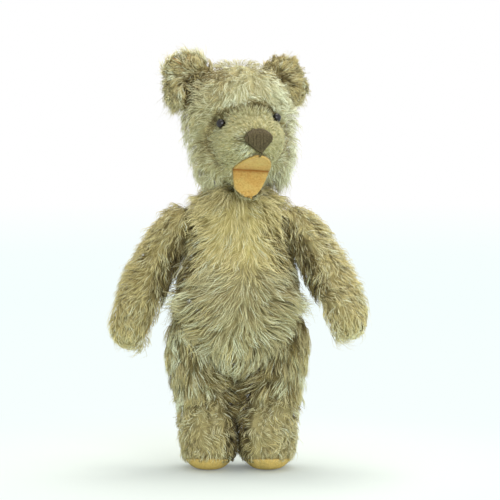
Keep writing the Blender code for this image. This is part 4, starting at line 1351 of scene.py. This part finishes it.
for side, point in EYES.items():
    outwards = (point - Vector((0, -6, -6))).normalized()
    turn = outwards.to_track_quat("Z", "Y").to_matrix().to_4x4()
    bm = bmesh.new()
    bmesh.ops.create_uvsphere(bm, u_segments=32, v_segments=20, radius=EYE_RADIUS)
    bmesh.ops.scale(bm, vec=(1, 1, 0.8), verts=bm.verts)
    bmesh.ops.transform(bm, matrix=Matrix.Translation(point) @ turn, verts=bm.verts)
    into_head(bm)
    make(f"{side}_glass_eye", bm, "head", glass, [f"{side}_eye"], "eye_glass")

# The soles and the paw pads. They are of the same felt, cut to shape and sewn in. The soles are rubbed
# and dirty where the bear has stood.

# pressed wool rubbed flat: matt, with fibres under 1 mm wide and grime in patches of 7 mm
sole_finish, tree, shader = principled("worn_felt", {"Roughness": 0.95, "Specular IOR Level": 0.2})
place = add(tree, "ShaderNodeTexCoord").outputs["Object"]
inputs = {"Vector": place, "Scale": 1.3 / MM, "Detail": 4.0}
fibre = add(tree, "ShaderNodeTexNoise", None, inputs).outputs["Fac"]
dirt = add(tree, "ShaderNodeTexNoise", None, {"Vector": place, "Scale": 0.14 / MM, "Detail": 5.0})
fine = add(tree, "ShaderNodeValToRGB", None, {"Fac": fibre}, ((0.3, "b09352"), (0.7, "d6ba72")))
inputs = {"Value": dirt.outputs["Fac"], "From Min": 0.5, "From Max": 0.75, "To Max": 0.7}
grime = add(tree, "ShaderNodeMapRange", None, inputs)
inputs = {0: grime.outputs["Result"], 6: fine.outputs["Color"], 7: linear("857a4e")}
both = add(tree, "ShaderNodeMix", {"data_type": "RGBA"}, inputs)
bump = add(tree, "ShaderNodeBump", None, {"Strength": 0.6, "Distance": 0.4 * MM, "Height": fibre})
tree.links.new(both.outputs[2], shader.inputs["Base Color"])
tree.links.new(bump.outputs["Normal"], shader.inputs["Normal"])

for side, way in (("left", 1), ("right", -1)):
    leg, solids = f"{side}_leg", [f"{side}_leg_cover", f"{side}_leg_sole"]
    bm = draw_over(solids, *spine_of(solids[0]), 5, 2)
    rim = Vector((SOLE_RIM.x * way, SOLE_RIM.y, SOLE_RIM.z)) * MM
    up = Vector((0, math.sin(SOLE_LEAN), math.cos(SOLE_LEAN)))
    whole = bm.verts[:] + bm.edges[:] + bm.faces[:]
    bmesh.ops.bisect_plane(bm, geom=whole, plane_co=rim, plane_no=up, clear_outer=True)
    thicken(bm, FELT * MM)
    make(f"{leg}_felt", bm, leg, sole_finish, solids[1:], "felt")

PAD_HALF = (9.0, 13.0)
for side in ("left", "right"):
    arm, pad = f"{side}_arm", f"{side}_arm_paw_pad"
    centre, across, along, facing = pad_frames[arm]
    bm = sink(draw_over([f"{arm}_cover"], *spine_of(f"{arm}_cover"), 5, 4), 1.6 * MM)
    outside = []
    for face in bm.faces:
        off = (face.calc_center_median() - centre) / MM
        there = (off.dot(across) / PAD_HALF[0]) ** 2 + (off.dot(along) / PAD_HALF[1]) ** 2
        if there > 1 or face.normal.dot(facing) < 0.3:
            outside.append(face)
    bmesh.ops.delete(bm, geom=outside, context="FACES")
    thicken(bm, FELT * MM)
    make(f"{arm}_felt", bm, arm, sole_finish, [pad], "felt")

# What is inside. Each part is packed with wood wool round a hardboard disc, the split pins and washers
# hold the discs together at the joints, and a card insole keeps each sole flat.

INSIDE = {
    "wood_wool": ("filling",),
    "hardboard": ("disc",),
    "steel": ("washer", "pin", "loop"),
    "card": ("insole",),
}
inside = {}
for name, low, high, scale, settings in (
    ("wood_wool", "a08a58", "d8c898", 0.7, {"Roughness": 0.9}),
    ("hardboard", "5f4a30", "86704c", 1.2, {"Roughness": 0.8}),
    ("steel", "6a6660", "9a968c", 0.9, {"Roughness": 0.4, "Metallic": 1.0}),
    ("card", "a99c80", "c9be9f", 1.5, {"Roughness": 0.9}),
):
    inside[name], tree, shader = principled(f"aged_{name}", settings)
    place = add(tree, "ShaderNodeTexCoord").outputs["Object"]
    fleck = add(tree, "ShaderNodeTexNoise", None, {"Vector": place, "Scale": scale / MM, "Detail": 4.0})
    stops = ((0.0, low), (1.0, high))
    flecked = add(tree, "ShaderNodeValToRGB", None, {"Fac": fleck.outputs["Fac"]}, stops)
    tree.links.new(flecked.outputs["Color"], shader.inputs["Base Color"])
for name, node in nodes.items():
    kind = next((k for k, words in INSIDE.items() if any(word in name for word in words)), None)
    if kind:
        node.data.materials.clear()
        node.data.materials.append(inside[kind])
